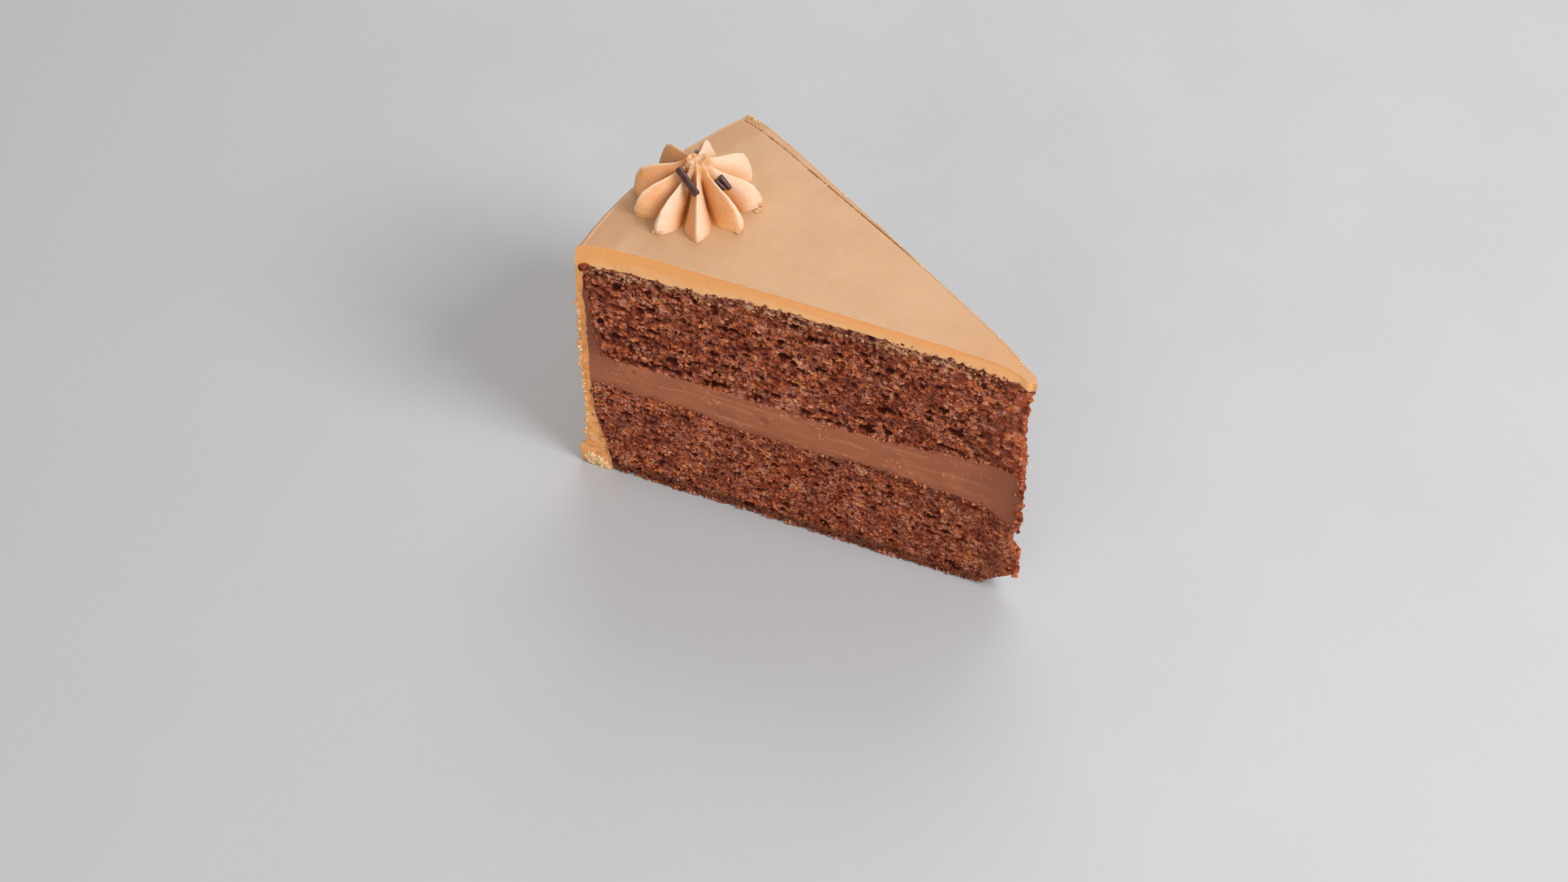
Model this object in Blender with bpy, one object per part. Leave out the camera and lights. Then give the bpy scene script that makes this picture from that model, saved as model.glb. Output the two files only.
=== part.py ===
"""A slice of chocolate layer cake: two sponges, a chocolate cream filling, tan buttercream
over the top and down the round outer side, and a piped rosette with chocolate sprinkles.

The slice stands on z = 0, its thin tip towards +X and its round outer side towards -X.
Sizes are metres. A cake is round, so each layer is drawn once as a flat section, as
distance from the cake's middle against height, and then spun through the slice's angle.
"""

import math

import bmesh
import bpy
import numpy as np
from mathutils import Matrix, Vector, noise

MM = 0.001

# The slice
SLICE_ANGLE = math.radians(32)
HALF_ANGLE = SLICE_ANGLE / 2
SPIN_STEPS = 8
COLUMNS = 32
GAP = 0.3 * MM
HALF_GAP = GAP / 2

# Round outer side of the buttercream
FOOT_RADIUS = 122.2 * MM
WALL_ROWS = 16
WALL_TOP = 75.2 * MM
WALL_INNER_TOP = 68 * MM

# Thin end of the slice
TIP_RADIUS = 0.9 * MM
TIP_X = (FOOT_RADIUS + TIP_RADIUS * math.cos(HALF_ANGLE)) / 2
TIP_DRIP_Z = 71 * MM
TIP_DRIP_WIDTH = 0.75 * MM
SPONGE_TIP_TOP = 2.0 * MM
SPONGE_TIP_BOTTOM = 1.0 * MM
FILLING_TIP = 2.6 * MM

# Chocolate cream that runs up behind the buttercream
STRIP_ROWS = 6
STRIP_TOP = 61 * MM
STRIP_FOOT = 115.4 * MM

# Top outer corner of the upper sponge
CROWN_END = 118.2 * MM

# Crumb relief on the cut faces
CRUMB_SIZE = 6 * MM
SPONGE_RELIEF = 0.7 * MM
CREAM_RELIEF = 0.25 * MM
LINE_WANDER = 0.45 * MM

# Knife score beside the far cut edge of the top
SCORE_WIDTH = 0.5 * MM
SCORE_DEPTH = 0.6 * MM
SCORE_START = (117 * MM, math.radians(-14.7))
SCORE_END = (62 * MM, math.radians(-15.4))

# Piped rosette
ROSETTE_FROM_TIP = 102.8 * MM
ROSETTE_Y = -2.2 * MM
LOBE_SEGMENTS = 8
LOBE_FIRST_TURN = math.radians(31)
ROSETTE_APEX = 12.6 * MM
UNDERSIDE_RINGS = (0.3, 0.6, 0.85)

# Chocolate sprinkles
SPRINKLE_SIDES = 8


def line(*knots):
    """A line through knots given in millimetres, as an array in metres."""
    return np.array(knots, float) * MM


def read(knots, value):
    """The second number of the line where its first number is value."""
    return float(np.interp(value, knots[:, 0], knots[:, 1]))


# Heights of the layers against distance from the cake's middle
UNDERSIDE = line((1, 7.8), (3.5, 6), (7.5, 3.2), (11.4, 0), (120, 0))
FILLING_BOTTOM = line(
    (0, 24.2), (6.3, 24.6), (10, 28), (43, 30), (55, 28.6), (80, 28.6), (88, 30.5), (120, 31)
)
FILLING_TOP = line((0, 41.6), (6, 42.4), (23, 41.8), (31, 40.6), (51, 39.6), (120, 40.6))
SPONGE_CROWN = line(
    (0, 71.9), (4, 72.8), (10, 73.4), (18, 73.7), (50, 74.2), (77, 73.4), (88, 71.6),
    (100, 71.7), (120, 70.3)
)
FROSTING_TOP = line(
    (0, 74), (2, 74.6), (4, 75.4), (8.5, 76.8), (13, 77.5), (25, 77.9), (60, 78.4),
    (100, 78.5), (110, 78), (116, 77), (119, 76.3)
)

# Distances from the cake's middle against height
WALL_INNER = line(
    (0, 113), (10, 114.8), (19, 117.8), (29, 118.4), (44, 118.5), (50.6, 118.7), (60, 119.3),
    (66, 119.1), (71, 118.4)
)
WALL_OUTER = line(
    (0, 121.6), (1.8, 121.7), (4.7, 122.2), (8, 120.1), (18, 120), (28, 120.3), (38, 120.9),
    (70, 120.9), (73.5, 120.6), (75.2, 120.1)
)
SPONGE_SIDE = line(
    (41, 115.5), (46, 116.4), (54, 117.4), (60, 118.1), (61.3, 118.5), (63, 119.2),
    (66, 119.1), (71, 118.4)
)
SPONGE_TIP = line(
    (8, 1), (16.9, 1), (18.2, 3.1), (21.5, 3), (22.5, 1.5), (24, 2.2), (42, 1.8), (50, 2.3),
    (55, 2.9), (65, 2.5), (68, 1.9), (73, 2)
)

# Rosette: distance from its middle against height, from the foot up
CREST = line(
    (16.3, 0), (16.6, 1.6), (16.1, 3.8), (14.7, 6), (11.8, 7.6), (8.4, 8.5), (5.4, 9.4),
    (3.4, 10.7), (2.4, 11.9)
)
GROOVE = line(
    (12.3, 0), (11.6, 0.4), (9.9, 1.0), (7.8, 2.0), (5.9, 3.4), (4.5, 5.2), (3.6, 7.2),
    (3.0, 9.5), (2.2, 11.6)
)
# Each lobe: degrees off its even place, length and height against the plain lobe
LOBES = (
    (-4, 0.99, 0.85), (7, 1.0, 0.95), (8, 0.88, 1.2), (10, 0.97, 1.12), (14, 0.98, 1.0),
    (12, 1.01, 0.95), (4, 1.07, 0.88), (-1, 1.09, 0.9), (-3, 1.07, 0.92)
)
# Each sprinkle: both ends, in mm from the rosette's middle and above the frosting, and radius
SPRINKLES = (
    ((-2.1, -4.55, 10.2), (5.97, -7.26, 8.2), 0.95),
    ((5.5, 2.1, 7.8), (8.5, 2.55, 4.85), 0.75),
    ((4.8, 1.15, 6.65), (7.35, 1.9, 4.65), 0.75),
    ((-4.84, 4.73, 6.6), (-5.6, 7.0, 6.4), 0.8),
)


def material(name, colour, roughness):
    """A Principled material in one linear colour."""
    made = bpy.data.materials.new(name)
    made.use_nodes = True
    shader = made.node_tree.nodes["Principled BSDF"]
    shader.inputs["Base Color"].default_value = (*colour, 1)
    shader.inputs["Roughness"].default_value = roughness
    shader.inputs["Metallic"].default_value = 0
    return made


def add_object(name, bm, made):
    """Turns a finished bmesh into a named object that shades smooth between crisp edges."""
    bmesh.ops.recalc_face_normals(bm, faces=bm.faces)
    bmesh.ops.triangulate(bm, faces=bm.faces)
    mesh = bpy.data.meshes.new(name)
    bm.to_mesh(mesh)
    bm.free()
    mesh.materials.append(made)
    mesh.shade_smooth()
    mesh.set_sharp_from_angle(angle=math.radians(40))
    obj = bpy.data.objects.new(name, mesh)
    bpy.context.scene.collection.objects.link(obj)
    return obj


def on_slice(radius, angle, height):
    """The point at a distance from the cake's middle. Angles run from the far cut, below
    zero, to the near cut."""
    x = TIP_X - radius * math.cos(angle)
    y = -radius * math.sin(angle)
    return Vector((x, y, height))


def wander(value, seed):
    """Smooth unevenness between -1 and 1 along a line."""
    return noise.noise(Vector((value / CRUMB_SIZE, seed, 0.5)))


def layer_line(knots, first, last, offset, seed):
    """COLUMNS + 1 points of a layer's edge, each lifted by offset."""
    points = []
    for radius in np.linspace(first, last, COLUMNS + 1):
        height = read(knots, radius) + LINE_WANDER * wander(radius, seed)
        points.append((radius, height + offset))
    return points


def side_line(knots, low, high, rows, offset):
    """Points of an upright edge from low to high, each moved outwards by offset."""
    return [(read(knots, z) + offset, z) for z in np.linspace(low, high, rows + 1)]


def between(start, end, share):
    """The value a share of the way from start to end."""
    return start + (end - start) * share


def fill_section(bm, low, high, rows, tip_side=None, outer_side=None):
    """Makes a grid between two rows of points, and bows its ends out to the side lines."""
    columns = len(low) - 1
    bmesh.ops.create_grid(bm, x_segments=columns, y_segments=rows, size=0.5)
    for vertex in bm.verts:
        column = round((vertex.co.x + 0.5) * columns)
        across = column / columns
        up = vertex.co.y + 0.5
        radius = between(low[column][0], high[column][0], up)
        height = between(low[column][1], high[column][1], up)
        for side, share, end in ((tip_side, 1 - across, 0), (outer_side, across, -1)):
            if side is not None and 0.01 < up < 0.99:
                end_height = between(low[end][1], high[end][1], up)
                end_radius = between(low[end][0], high[end][0], up)
                radius += share**8 * (side(end_height) - end_radius)
        vertex.co = on_slice(radius, HALF_ANGLE, height)


def roughen_cut(verts, side, depth, seed):
    """Sinks crumb hollows into one cut face. side is -1 on the near cut and 1 on the far."""
    inwards = Vector((-math.sin(HALF_ANGLE), -side * math.cos(HALF_ANGLE), 0))
    for vertex in verts:
        radius = math.hypot(vertex.co.x - TIP_X, vertex.co.y)
        place = Vector((radius / CRUMB_SIZE, vertex.co.z / CRUMB_SIZE, seed + side))
        hollow = min(1, max(0, 0.5 + 0.9 * noise.noise(place)))
        most = min(depth, 0.2 * radius * math.sin(HALF_ANGLE))
        vertex.co += inwards * most * hollow


def spin_layer(name, bm, made, relief, seed):
    """Spins the section from the near cut to the far one and roughens both cut faces."""
    near = list(bm.verts)
    spun = bmesh.ops.spin(
        bm,
        geom=bm.verts[:] + bm.edges[:] + bm.faces[:],
        cent=(TIP_X, 0, 0),
        axis=(0, 0, 1),
        angle=-SLICE_ANGLE,
        steps=SPIN_STEPS,
        use_duplicate=False,
    )
    far = [part for part in spun["geom_last"] if isinstance(part, bmesh.types.BMVert)]
    if relief:
        roughen_cut(near, -1, relief, seed)
        roughen_cut(far, 1, relief, seed)
    return add_object(name, bm, made)


def tip_edge(height):
    """The ragged thin end of the sponges."""
    return read(SPONGE_TIP, height)


def make_sponge_bottom(made):
    """The lower sponge, broken away under its tip."""
    outer = read(WALL_INNER, 0) - HALF_GAP
    low = [
        (radius, read(UNDERSIDE, radius))
        for radius in np.linspace(SPONGE_TIP_BOTTOM, outer, COLUMNS + 1)
    ]
    corner = read(WALL_INNER, read(FILLING_BOTTOM, outer)) - HALF_GAP
    high = layer_line(FILLING_BOTTOM, FILLING_TIP, corner, -HALF_GAP, 1)
    bm = bmesh.new()
    fill_section(
        bm, low, high, 7, tip_edge, lambda height: read(WALL_INNER, height) - HALF_GAP
    )
    return spin_layer("sponge_bottom", bm, made, SPONGE_RELIEF, 11)


def make_filling(made):
    """Chocolate cream between the sponges, and the thin strip of it up the outer side."""
    corner = read(WALL_INNER, read(FILLING_BOTTOM, STRIP_FOOT)) - HALF_GAP
    low = layer_line(FILLING_BOTTOM, FILLING_TIP, corner, HALF_GAP, 1)
    high = layer_line(FILLING_TOP, FILLING_TIP, STRIP_FOOT, -HALF_GAP, 2)
    low += side_line(WALL_INNER, low[-1][1], STRIP_TOP, STRIP_ROWS, -HALF_GAP)[1:]
    high += side_line(SPONGE_SIDE, high[-1][1], STRIP_TOP, STRIP_ROWS, HALF_GAP)[1:]
    bm = bmesh.new()
    fill_section(bm, low, high, 3)
    return spin_layer("filling", bm, made, CREAM_RELIEF, 17)


def make_sponge_top(made):
    """The upper sponge, under the buttercream and inside the strip of cream."""
    low = layer_line(FILLING_TOP, FILLING_TIP, STRIP_FOOT - HALF_GAP, HALF_GAP, 2)
    high = layer_line(SPONGE_CROWN, SPONGE_TIP_TOP, CROWN_END, -HALF_GAP, 3)
    bm = bmesh.new()
    fill_section(
        bm, low, high, 8, tip_edge, lambda height: read(SPONGE_SIDE, height) - HALF_GAP
    )
    return spin_layer("sponge_top", bm, made, SPONGE_RELIEF, 23)


def make_frosting(made):
    """Buttercream over the top, down the outer side to its foot, with a drip at the tip."""
    crown = layer_line(SPONGE_CROWN, SPONGE_TIP_TOP, CROWN_END, HALF_GAP, 3)
    drip_edge = TIP_RADIUS + TIP_DRIP_WIDTH
    crown[0] = (drip_edge + HALF_GAP, crown[0][1])
    crown[-1] = (CROWN_END + GAP, crown[-1][1])
    low = [(TIP_RADIUS, TIP_DRIP_Z), (drip_edge, TIP_DRIP_Z)] + crown
    top_radii = [TIP_RADIUS, drip_edge, 2 * drip_edge] + [radius for radius, _ in crown[1:]]
    high = [(radius, read(FROSTING_TOP, radius)) for radius in top_radii]
    low += side_line(WALL_INNER, WALL_INNER_TOP, 0, WALL_ROWS, HALF_GAP)
    high += side_line(WALL_OUTER, WALL_TOP, 0, WALL_ROWS, 0)
    bm = bmesh.new()
    fill_section(bm, low, high, 1)
    frosting = spin_layer("frosting", bm, made, 0, 0)
    score_top(frosting)
    return frosting


def score_top(frosting):
    """Cuts the thin knife score into the top, along a straight line by the far edge."""
    ends = [on_slice(radius, angle, read(FROSTING_TOP, radius)) for radius, angle in
            (SCORE_START, SCORE_END)]
    run = ends[1] - ends[0]
    bm = bmesh.new()
    bmesh.ops.create_cone(
        bm, cap_ends=True, segments=3, radius1=1, radius2=1, depth=run.length
    )
    bmesh.ops.scale(bm, vec=(SCORE_DEPTH, SCORE_WIDTH / math.sqrt(3), 1), verts=bm.verts)
    turn = run.to_track_quat("Z", "Y").to_matrix().to_4x4()
    bm.transform(Matrix.Translation((ends[0] + ends[1]) / 2) @ turn)
    cutter = add_object("score_cutter", bm, frosting.data.materials[0])
    join_or_cut(frosting, "DIFFERENCE", cutter)


def join_or_cut(target, operation, other):
    """Applies a Boolean with another object, or with a collection of them, and removes it."""
    boolean = target.modifiers.new(operation.title(), "BOOLEAN")
    boolean.operation = operation
    others = [other]
    if isinstance(other, bpy.types.Collection):
        others = list(other.objects)
        boolean.operand_type = "COLLECTION"
        boolean.collection = other
    else:
        boolean.object = other
    graph = bpy.context.evaluated_depsgraph_get()
    solid = bpy.data.meshes.new_from_object(target.evaluated_get(graph))
    target.modifiers.clear()
    target.data = solid
    for cutter in others:
        bpy.data.objects.remove(cutter)
    if isinstance(other, bpy.types.Collection):
        bpy.data.collections.remove(other)


def frosting_under(x, y):
    """Height of the frosting's top below a point."""
    return read(FROSTING_TOP, math.hypot(x - TIP_X, y))


def lobe_point(step, ring):
    """A point of the rosette: step counts round it, ring counts up its profiles."""
    lobe, part = divmod(step, LOBE_SEGMENTS)
    next_lobe = (lobe + 1) % len(LOBES)
    spacing = 2 * math.pi / len(LOBES)
    turn = math.radians(LOBES[lobe][0])
    next_turn = math.radians(LOBES[next_lobe][0])
    share = part / LOBE_SEGMENTS
    angle = LOBE_FIRST_TURN + (lobe + share) * spacing + between(turn, next_turn, share)
    nearest = lobe if share < 0.5 else next_lobe
    off_crest = 2 * min(share, 1 - share)
    _, reach, rise = LOBES[nearest]
    up = ring / (len(CREST) - 1)
    roundness = between(1.9, 1.15, min(1, 2 * up))
    crest_share = (1 - off_crest**roundness) ** between(0.62, 1, min(1, 2 * up))
    lift = between(rise, 1, up)
    distance = between(GROOVE[ring][0], CREST[ring][0] * reach, crest_share)
    height = between(GROOVE[ring][1], CREST[ring][1] * lift, crest_share)
    return angle, distance, height


def make_rosette(made):
    """The piped rosette: rings of one star outline lofted from its middle underneath, out to
    the lobes' ends and up to its peak."""
    middle_x = TIP_X - ROSETTE_FROM_TIP
    around = LOBE_SEGMENTS * len(LOBES)

    def place(angle, distance, height):
        x = middle_x + distance * math.cos(angle)
        y = ROSETTE_Y + distance * math.sin(angle)
        lift = frosting_under(x, y) + GAP
        settled = between(lift, frosting_under(middle_x, ROSETTE_Y) + GAP, height / ROSETTE_APEX)
        return Vector((x, y, settled + height))

    outlines = []
    for share in UNDERSIDE_RINGS:
        foot = [lobe_point(step, 0) for step in range(around)]
        outlines.append([place(angle, distance * share, 0) for angle, distance, _ in foot])
    for ring in range(len(CREST)):
        outlines.append([place(*lobe_point(step, ring)) for step in range(around)])

    bm = bmesh.new()
    first = bmesh.ops.create_circle(bm, segments=around, radius=1)["verts"]
    edges = list({edge for vertex in first for edge in vertex.link_edges})
    ordered = sorted(first, key=lambda vertex: math.atan2(vertex.co.y, vertex.co.x) % math.tau)
    for vertex, point in zip(ordered, outlines[0]):
        vertex.co = point
    bmesh.ops.contextual_create(bm, geom=edges)
    underside = bm.faces[:]
    bmesh.ops.poke(bm, faces=underside)
    for outline in outlines[1:]:
        grown = bmesh.ops.extrude_edge_only(bm, edges=edges)["geom"]
        edges = [part for part in grown if isinstance(part, bmesh.types.BMEdge)]
        edges = [edge for edge in edges if len(edge.link_faces) == 1]
        ordered = [follow(vertex, grown) for vertex in ordered]
        for vertex, point in zip(ordered, outline):
            vertex.co = point
    bmesh.ops.contextual_create(bm, geom=edges)
    peak = bmesh.ops.poke(bm, faces=[face for face in bm.faces if len(face.verts) == around])
    for vertex in peak["verts"]:
        vertex.co = place(0, 0, ROSETTE_APEX)
    rosette = add_object("rosette", bm, made)
    fuse_sprinkles(rosette, middle_x)
    return rosette


def follow(vertex, grown):
    """The new vertex that an extrusion made from this one."""
    new = {part for part in grown if isinstance(part, bmesh.types.BMVert)}
    return next(edge.other_vert(vertex) for edge in vertex.link_edges
                if edge.other_vert(vertex) in new)


def fuse_sprinkles(rosette, middle_x):
    """Joins the sprinkles to the rosette that they lie on."""
    rods = bpy.data.collections.new("sprinkles")
    top = frosting_under(middle_x, ROSETTE_Y) + GAP
    for number, (*ends, radius) in enumerate(SPRINKLES):
        start, end = (Vector(point) * MM + Vector((middle_x, ROSETTE_Y, top)) for point in ends)
        run = end - start
        bm = bmesh.new()
        bmesh.ops.create_cone(
            bm, cap_ends=True, segments=SPRINKLE_SIDES, radius1=radius * MM,
            radius2=radius * MM, depth=run.length
        )
        turn = run.to_track_quat("Z", "Y").to_matrix().to_4x4()
        bm.transform(Matrix.Translation((start + end) / 2) @ turn)
        rod = add_object(f"sprinkle_{number + 1}", bm, rosette.data.materials[0])
        bpy.context.scene.collection.objects.unlink(rod)
        rods.objects.link(rod)
    bpy.context.scene.collection.children.link(rods)
    join_or_cut(rosette, "UNION", rods)


def main():
    """Clears the scene and builds the slice from the floor up."""
    for obj in list(bpy.data.objects):
        bpy.data.objects.remove(obj)
    sponge = material("sponge", (0.23, 0.07, 0.04), 0.9)
    cream = material("chocolate_cream", (0.3, 0.102, 0.054), 0.5)
    buttercream = material("buttercream", (0.7, 0.42, 0.23), 0.6)
    piped = material("piped_buttercream", (0.8, 0.46, 0.26), 0.55)
    make_sponge_bottom(sponge)
    make_filling(cream)
    make_sponge_top(sponge)
    make_frosting(buttercream)
    make_rosette(piped)


main()
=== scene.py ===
"""The looks of a slice of chocolate layer cake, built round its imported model.

Every solid of the model is dressed by a finer mesh of the same form: two sponges with an
open crumb, chocolate cream with knife streaks, tan buttercream with a thin knife score, and
a piped rosette with chocolate sprinkles. Crumbs, flakes and smears lie on them.

Shapes are worked out in millimetres and written to their meshes in metres. Distances from
the cake's middle are called radii, and the two cuts are called near and far.
"""

import logging
import math
from dataclasses import dataclass, field
from enum import Enum

import bmesh
import bpy
import numpy as np
from mathutils import Matrix, Vector


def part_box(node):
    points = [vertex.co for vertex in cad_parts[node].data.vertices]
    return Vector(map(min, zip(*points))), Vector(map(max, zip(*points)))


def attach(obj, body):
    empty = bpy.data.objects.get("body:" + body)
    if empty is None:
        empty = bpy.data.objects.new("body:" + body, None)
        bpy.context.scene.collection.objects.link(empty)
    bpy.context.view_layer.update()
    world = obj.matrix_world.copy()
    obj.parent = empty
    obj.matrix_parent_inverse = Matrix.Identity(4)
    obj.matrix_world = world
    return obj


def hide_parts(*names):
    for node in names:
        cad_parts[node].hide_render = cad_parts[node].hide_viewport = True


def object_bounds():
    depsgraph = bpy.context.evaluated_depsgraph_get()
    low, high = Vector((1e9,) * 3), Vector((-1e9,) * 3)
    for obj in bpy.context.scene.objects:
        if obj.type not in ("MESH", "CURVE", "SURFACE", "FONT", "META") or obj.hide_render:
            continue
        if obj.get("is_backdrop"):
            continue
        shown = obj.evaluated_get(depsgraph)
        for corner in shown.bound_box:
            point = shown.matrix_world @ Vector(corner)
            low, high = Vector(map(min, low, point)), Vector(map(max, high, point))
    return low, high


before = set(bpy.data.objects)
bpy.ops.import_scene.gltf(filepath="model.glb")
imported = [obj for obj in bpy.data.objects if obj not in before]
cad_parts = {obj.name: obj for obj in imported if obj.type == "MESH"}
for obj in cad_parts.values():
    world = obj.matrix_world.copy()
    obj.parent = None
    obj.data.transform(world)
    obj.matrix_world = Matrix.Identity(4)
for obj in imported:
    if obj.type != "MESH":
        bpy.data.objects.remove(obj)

Array = np.ndarray
Colour = tuple[float, float, float]

MM = 0.001
BODY = "root"
LOG = logging.getLogger("cake")

# The most triangles in one piece, and the steps across the slice of a plain block.
MOST_TRIANGLES = 190_000
BLANK_STEPS = 8
# How far a sponge reaches out of sight into the cream, and where the thin end is on X, in mm.
OVERLAP = 1.1
TIP_X = 60.7
# How finely a small lump is divided, and a full turn of its bulges.
LUMP_DETAIL = 2
FULL_TURN = 6.28
# How far red, green and blue light reach in buttercream, against its depth.
CREAM_REACH = (1.0, 0.5, 0.25)


class Slot(Enum):
    """The record's material slots."""

    SPONGE = "sponge"
    CREAM = "chocolate_cream"
    BUTTERCREAM = "buttercream"
    PIPED = "piped_buttercream"


class Cut(Enum):
    """The two cut faces, by the sign of their side across the slice."""

    NEAR = -1
    FAR = 1


# Noise


def scatter(x: Array, y: Array, seed: int) -> Array:
    """Gives each whole-number cell a fixed random number.

    Args:
        x: cell columns.
        y: cell rows.
        seed: picks one of many random fields.

    Returns:
        Numbers from 0 to 1.
    """
    mixed = x.astype(np.int64) * 374761393 + y.astype(np.int64) * 668265263 + seed * 974634777
    mixed = (mixed ^ (mixed >> 13)) & 0xFFFFFFFF
    mixed = (mixed * 1274126177) & 0xFFFFFFFF
    mixed = (mixed ^ (mixed >> 16)) & 0xFFFFFF
    return mixed / float(0xFFFFFF)


def ripple(x: Array, y: Array, seed: int) -> Array:
    """Smooth noise with features about one unit wide.

    Args:
        x: places along the surface.
        y: places up the surface.
        seed: picks one of many random fields.

    Returns:
        Numbers from -1 to 1.
    """
    column, row = np.floor(x), np.floor(y)
    across, up = x - column, y - row
    across = across * across * across * (across * (across * 6 - 15) + 10)
    up = up * up * up * (up * (up * 6 - 15) + 10)
    low = scatter(column, row, seed) * (1 - across) + scatter(column + 1, row, seed) * across
    high = scatter(column, row + 1, seed) * (1 - across)
    high += scatter(column + 1, row + 1, seed) * across
    return 2 * (low * (1 - up) + high * up) - 1


def fractal(x: Array, y: Array, seed: int, octaves: int = 3) -> Array:
    """Ripples added up, each octave half as wide and half as high as the last.

    Args:
        x: places along the surface.
        y: places up the surface.
        seed: picks one of many random fields.
        octaves: how many ripples to add.

    Returns:
        Numbers from about -1 to 1.
    """
    total = np.zeros(np.broadcast(x, y).shape)
    for octave in range(octaves):
        size = 2.0**octave
        total += ripple(x * size + 17.3 * octave, y * size - 9.1 * octave, seed + octave) / size
    return total / (2 - 2.0 ** (1 - octaves))


def cells(x: Array, y: Array, seed: int) -> tuple[Array, Array, Array]:
    """Splits the surface into uneven cells about one unit wide.

    Args:
        x: places along the surface.
        y: places up the surface.
        seed: picks one of many random fields.

    Returns:
        How far each place is from its cell's middle, how far from a crease between cells,
        and a random number for its cell.
    """
    column, row = np.floor(x), np.floor(y)
    nearest = np.full(x.shape, 9.0)
    second = np.full(x.shape, 9.0)
    tone = np.zeros(x.shape)
    for step_x in (-1, 0, 1):
        for step_y in (-1, 0, 1):
            cell_x, cell_y = column + step_x, row + step_y
            away_x = cell_x + scatter(cell_x, cell_y, seed) - x
            away_y = cell_y + scatter(cell_x, cell_y, seed + 1) - y
            away = np.hypot(away_x, away_y)
            closer = away < nearest
            second = np.where(closer, nearest, np.minimum(second, away))
            tone = np.where(closer, scatter(cell_x, cell_y, seed + 2), tone)
            nearest = np.where(closer, away, nearest)
    return nearest, second - nearest, tone


@dataclass(frozen=True)
class Pores:
    """One size of pore in a crumb: pits with steep rims, in uneven rows.

    Attributes:
        spacing: width of the cells that may hold one, in mm.
        share: share of the cells that do.
        widest: greatest radius, in mm.
        deepest: greatest depth, in mm.
        stretch: width against height.
    """

    spacing: float
    share: float
    widest: float
    deepest: float
    stretch: float = 1.35

    def depth(self, x: Array, y: Array, seed: int) -> Array:
        """Depth of the pits at each place.

        Args:
            x: places along the cut face, in mm.
            y: places up the cut face, in mm.
            seed: picks one of many random fields.

        Returns:
            Depths in mm, 0 between pores.
        """
        u, v = x / self.spacing / self.stretch, y / self.spacing
        column, row = np.floor(u), np.floor(v)
        ragged = 1 + 0.45 * fractal(x / 0.9, y / 0.9, seed + 7, 2)
        found = np.zeros(x.shape)
        for step_x in (-1, 0, 1):
            for step_y in (-1, 0, 1):
                cell_x, cell_y = column + step_x, row + step_y
                size = 0.35 + 0.65 * scatter(cell_x, cell_y, seed + 3)
                there = scatter(cell_x, cell_y, seed + 4) < self.share
                away_x = cell_x + scatter(cell_x, cell_y, seed) - u
                away_y = cell_y + scatter(cell_x, cell_y, seed + 1) - v
                away = np.hypot(away_x, away_y) * self.spacing / (self.widest * size) * ragged
                bowl = np.sqrt(np.clip(1 - away**2, 0, 1)) * self.deepest * size
                found = np.maximum(found, np.where(there, bowl, 0))
        return found


def ease(low: float, high: float, value: Array) -> Array:
    """A smooth step from 0 at low to 1 at high."""
    share = np.clip((value - low) / (high - low), 0, 1)
    return share * share * (3 - 2 * share)


# The slice's form


@dataclass(frozen=True)
class Line:
    """A soft line through a few knots.

    Attributes:
        knots: each a place and the value there, in mm.
        soft: how far its corners are rounded off, in mm.
    """

    knots: tuple[tuple[float, float], ...]
    soft: float = 1.5

    def at(self, place: Array) -> Array:
        """Reads the line, with its corners rounded off.

        Args:
            place: places along it, in mm.

        Returns:
            Its values there, in mm.
        """
        places, values = zip(*self.knots)
        shifts = (-1, -0.5, 0, 0.5, 1)
        return sum(np.interp(place + self.soft * s, places, values) for s in shifts) / len(shifts)


@dataclass(frozen=True)
class Wedge:
    """Where a point of the slice lies, from its radius, its share of the way from the near
    cut to the far one, and its height.

    Attributes:
        tip_x: where the cake's middle is on X, in mm.
        half_angle: half of the slice's angle, in radians.
    """

    tip_x: float
    half_angle: float = math.radians(16)

    def angle(self, share: Array) -> Array:
        """Angle from the slice's middle line, positive on the near side."""
        return self.half_angle * (1 - 2 * share)

    def place(self, radius: Array, angle: Array, height: Array) -> Array:
        """Finds the points of the slice.

        Args:
            radius: their radii, in mm.
            angle: their angles.
            height: their heights, in mm.

        Returns:
            The points in mm, one row each.
        """
        return np.stack(
            [self.tip_x - radius * np.cos(angle), -radius * np.sin(angle), height], axis=1
        )

    def inwards(self, cut: Cut) -> Array:
        """The direction from a cut face into the slice."""
        across = -cut.value * math.cos(self.half_angle)
        return np.array([-math.sin(self.half_angle), across, 0.0])

    def press(
        self, points: Array, here: Array, cut: Cut, drop: Array, radius: Array, most: float
    ) -> Array:
        """Presses points of a cut face into the slice, less where the slice is thin.

        Args:
            points: all points of the piece, in mm, which are moved.
            here: which of them lie on the cut face.
            cut: which cut face.
            drop: how deep each of those goes, in mm.
            radius: the radius of each of those, in mm.
            most: the greatest depth against half of the slice's width there.

        Returns:
            How deep each went, in mm.
        """
        drop = np.minimum(drop, most * radius * math.sin(self.half_angle))
        points[here] += drop[:, None] * self.inwards(cut)
        return drop


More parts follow.
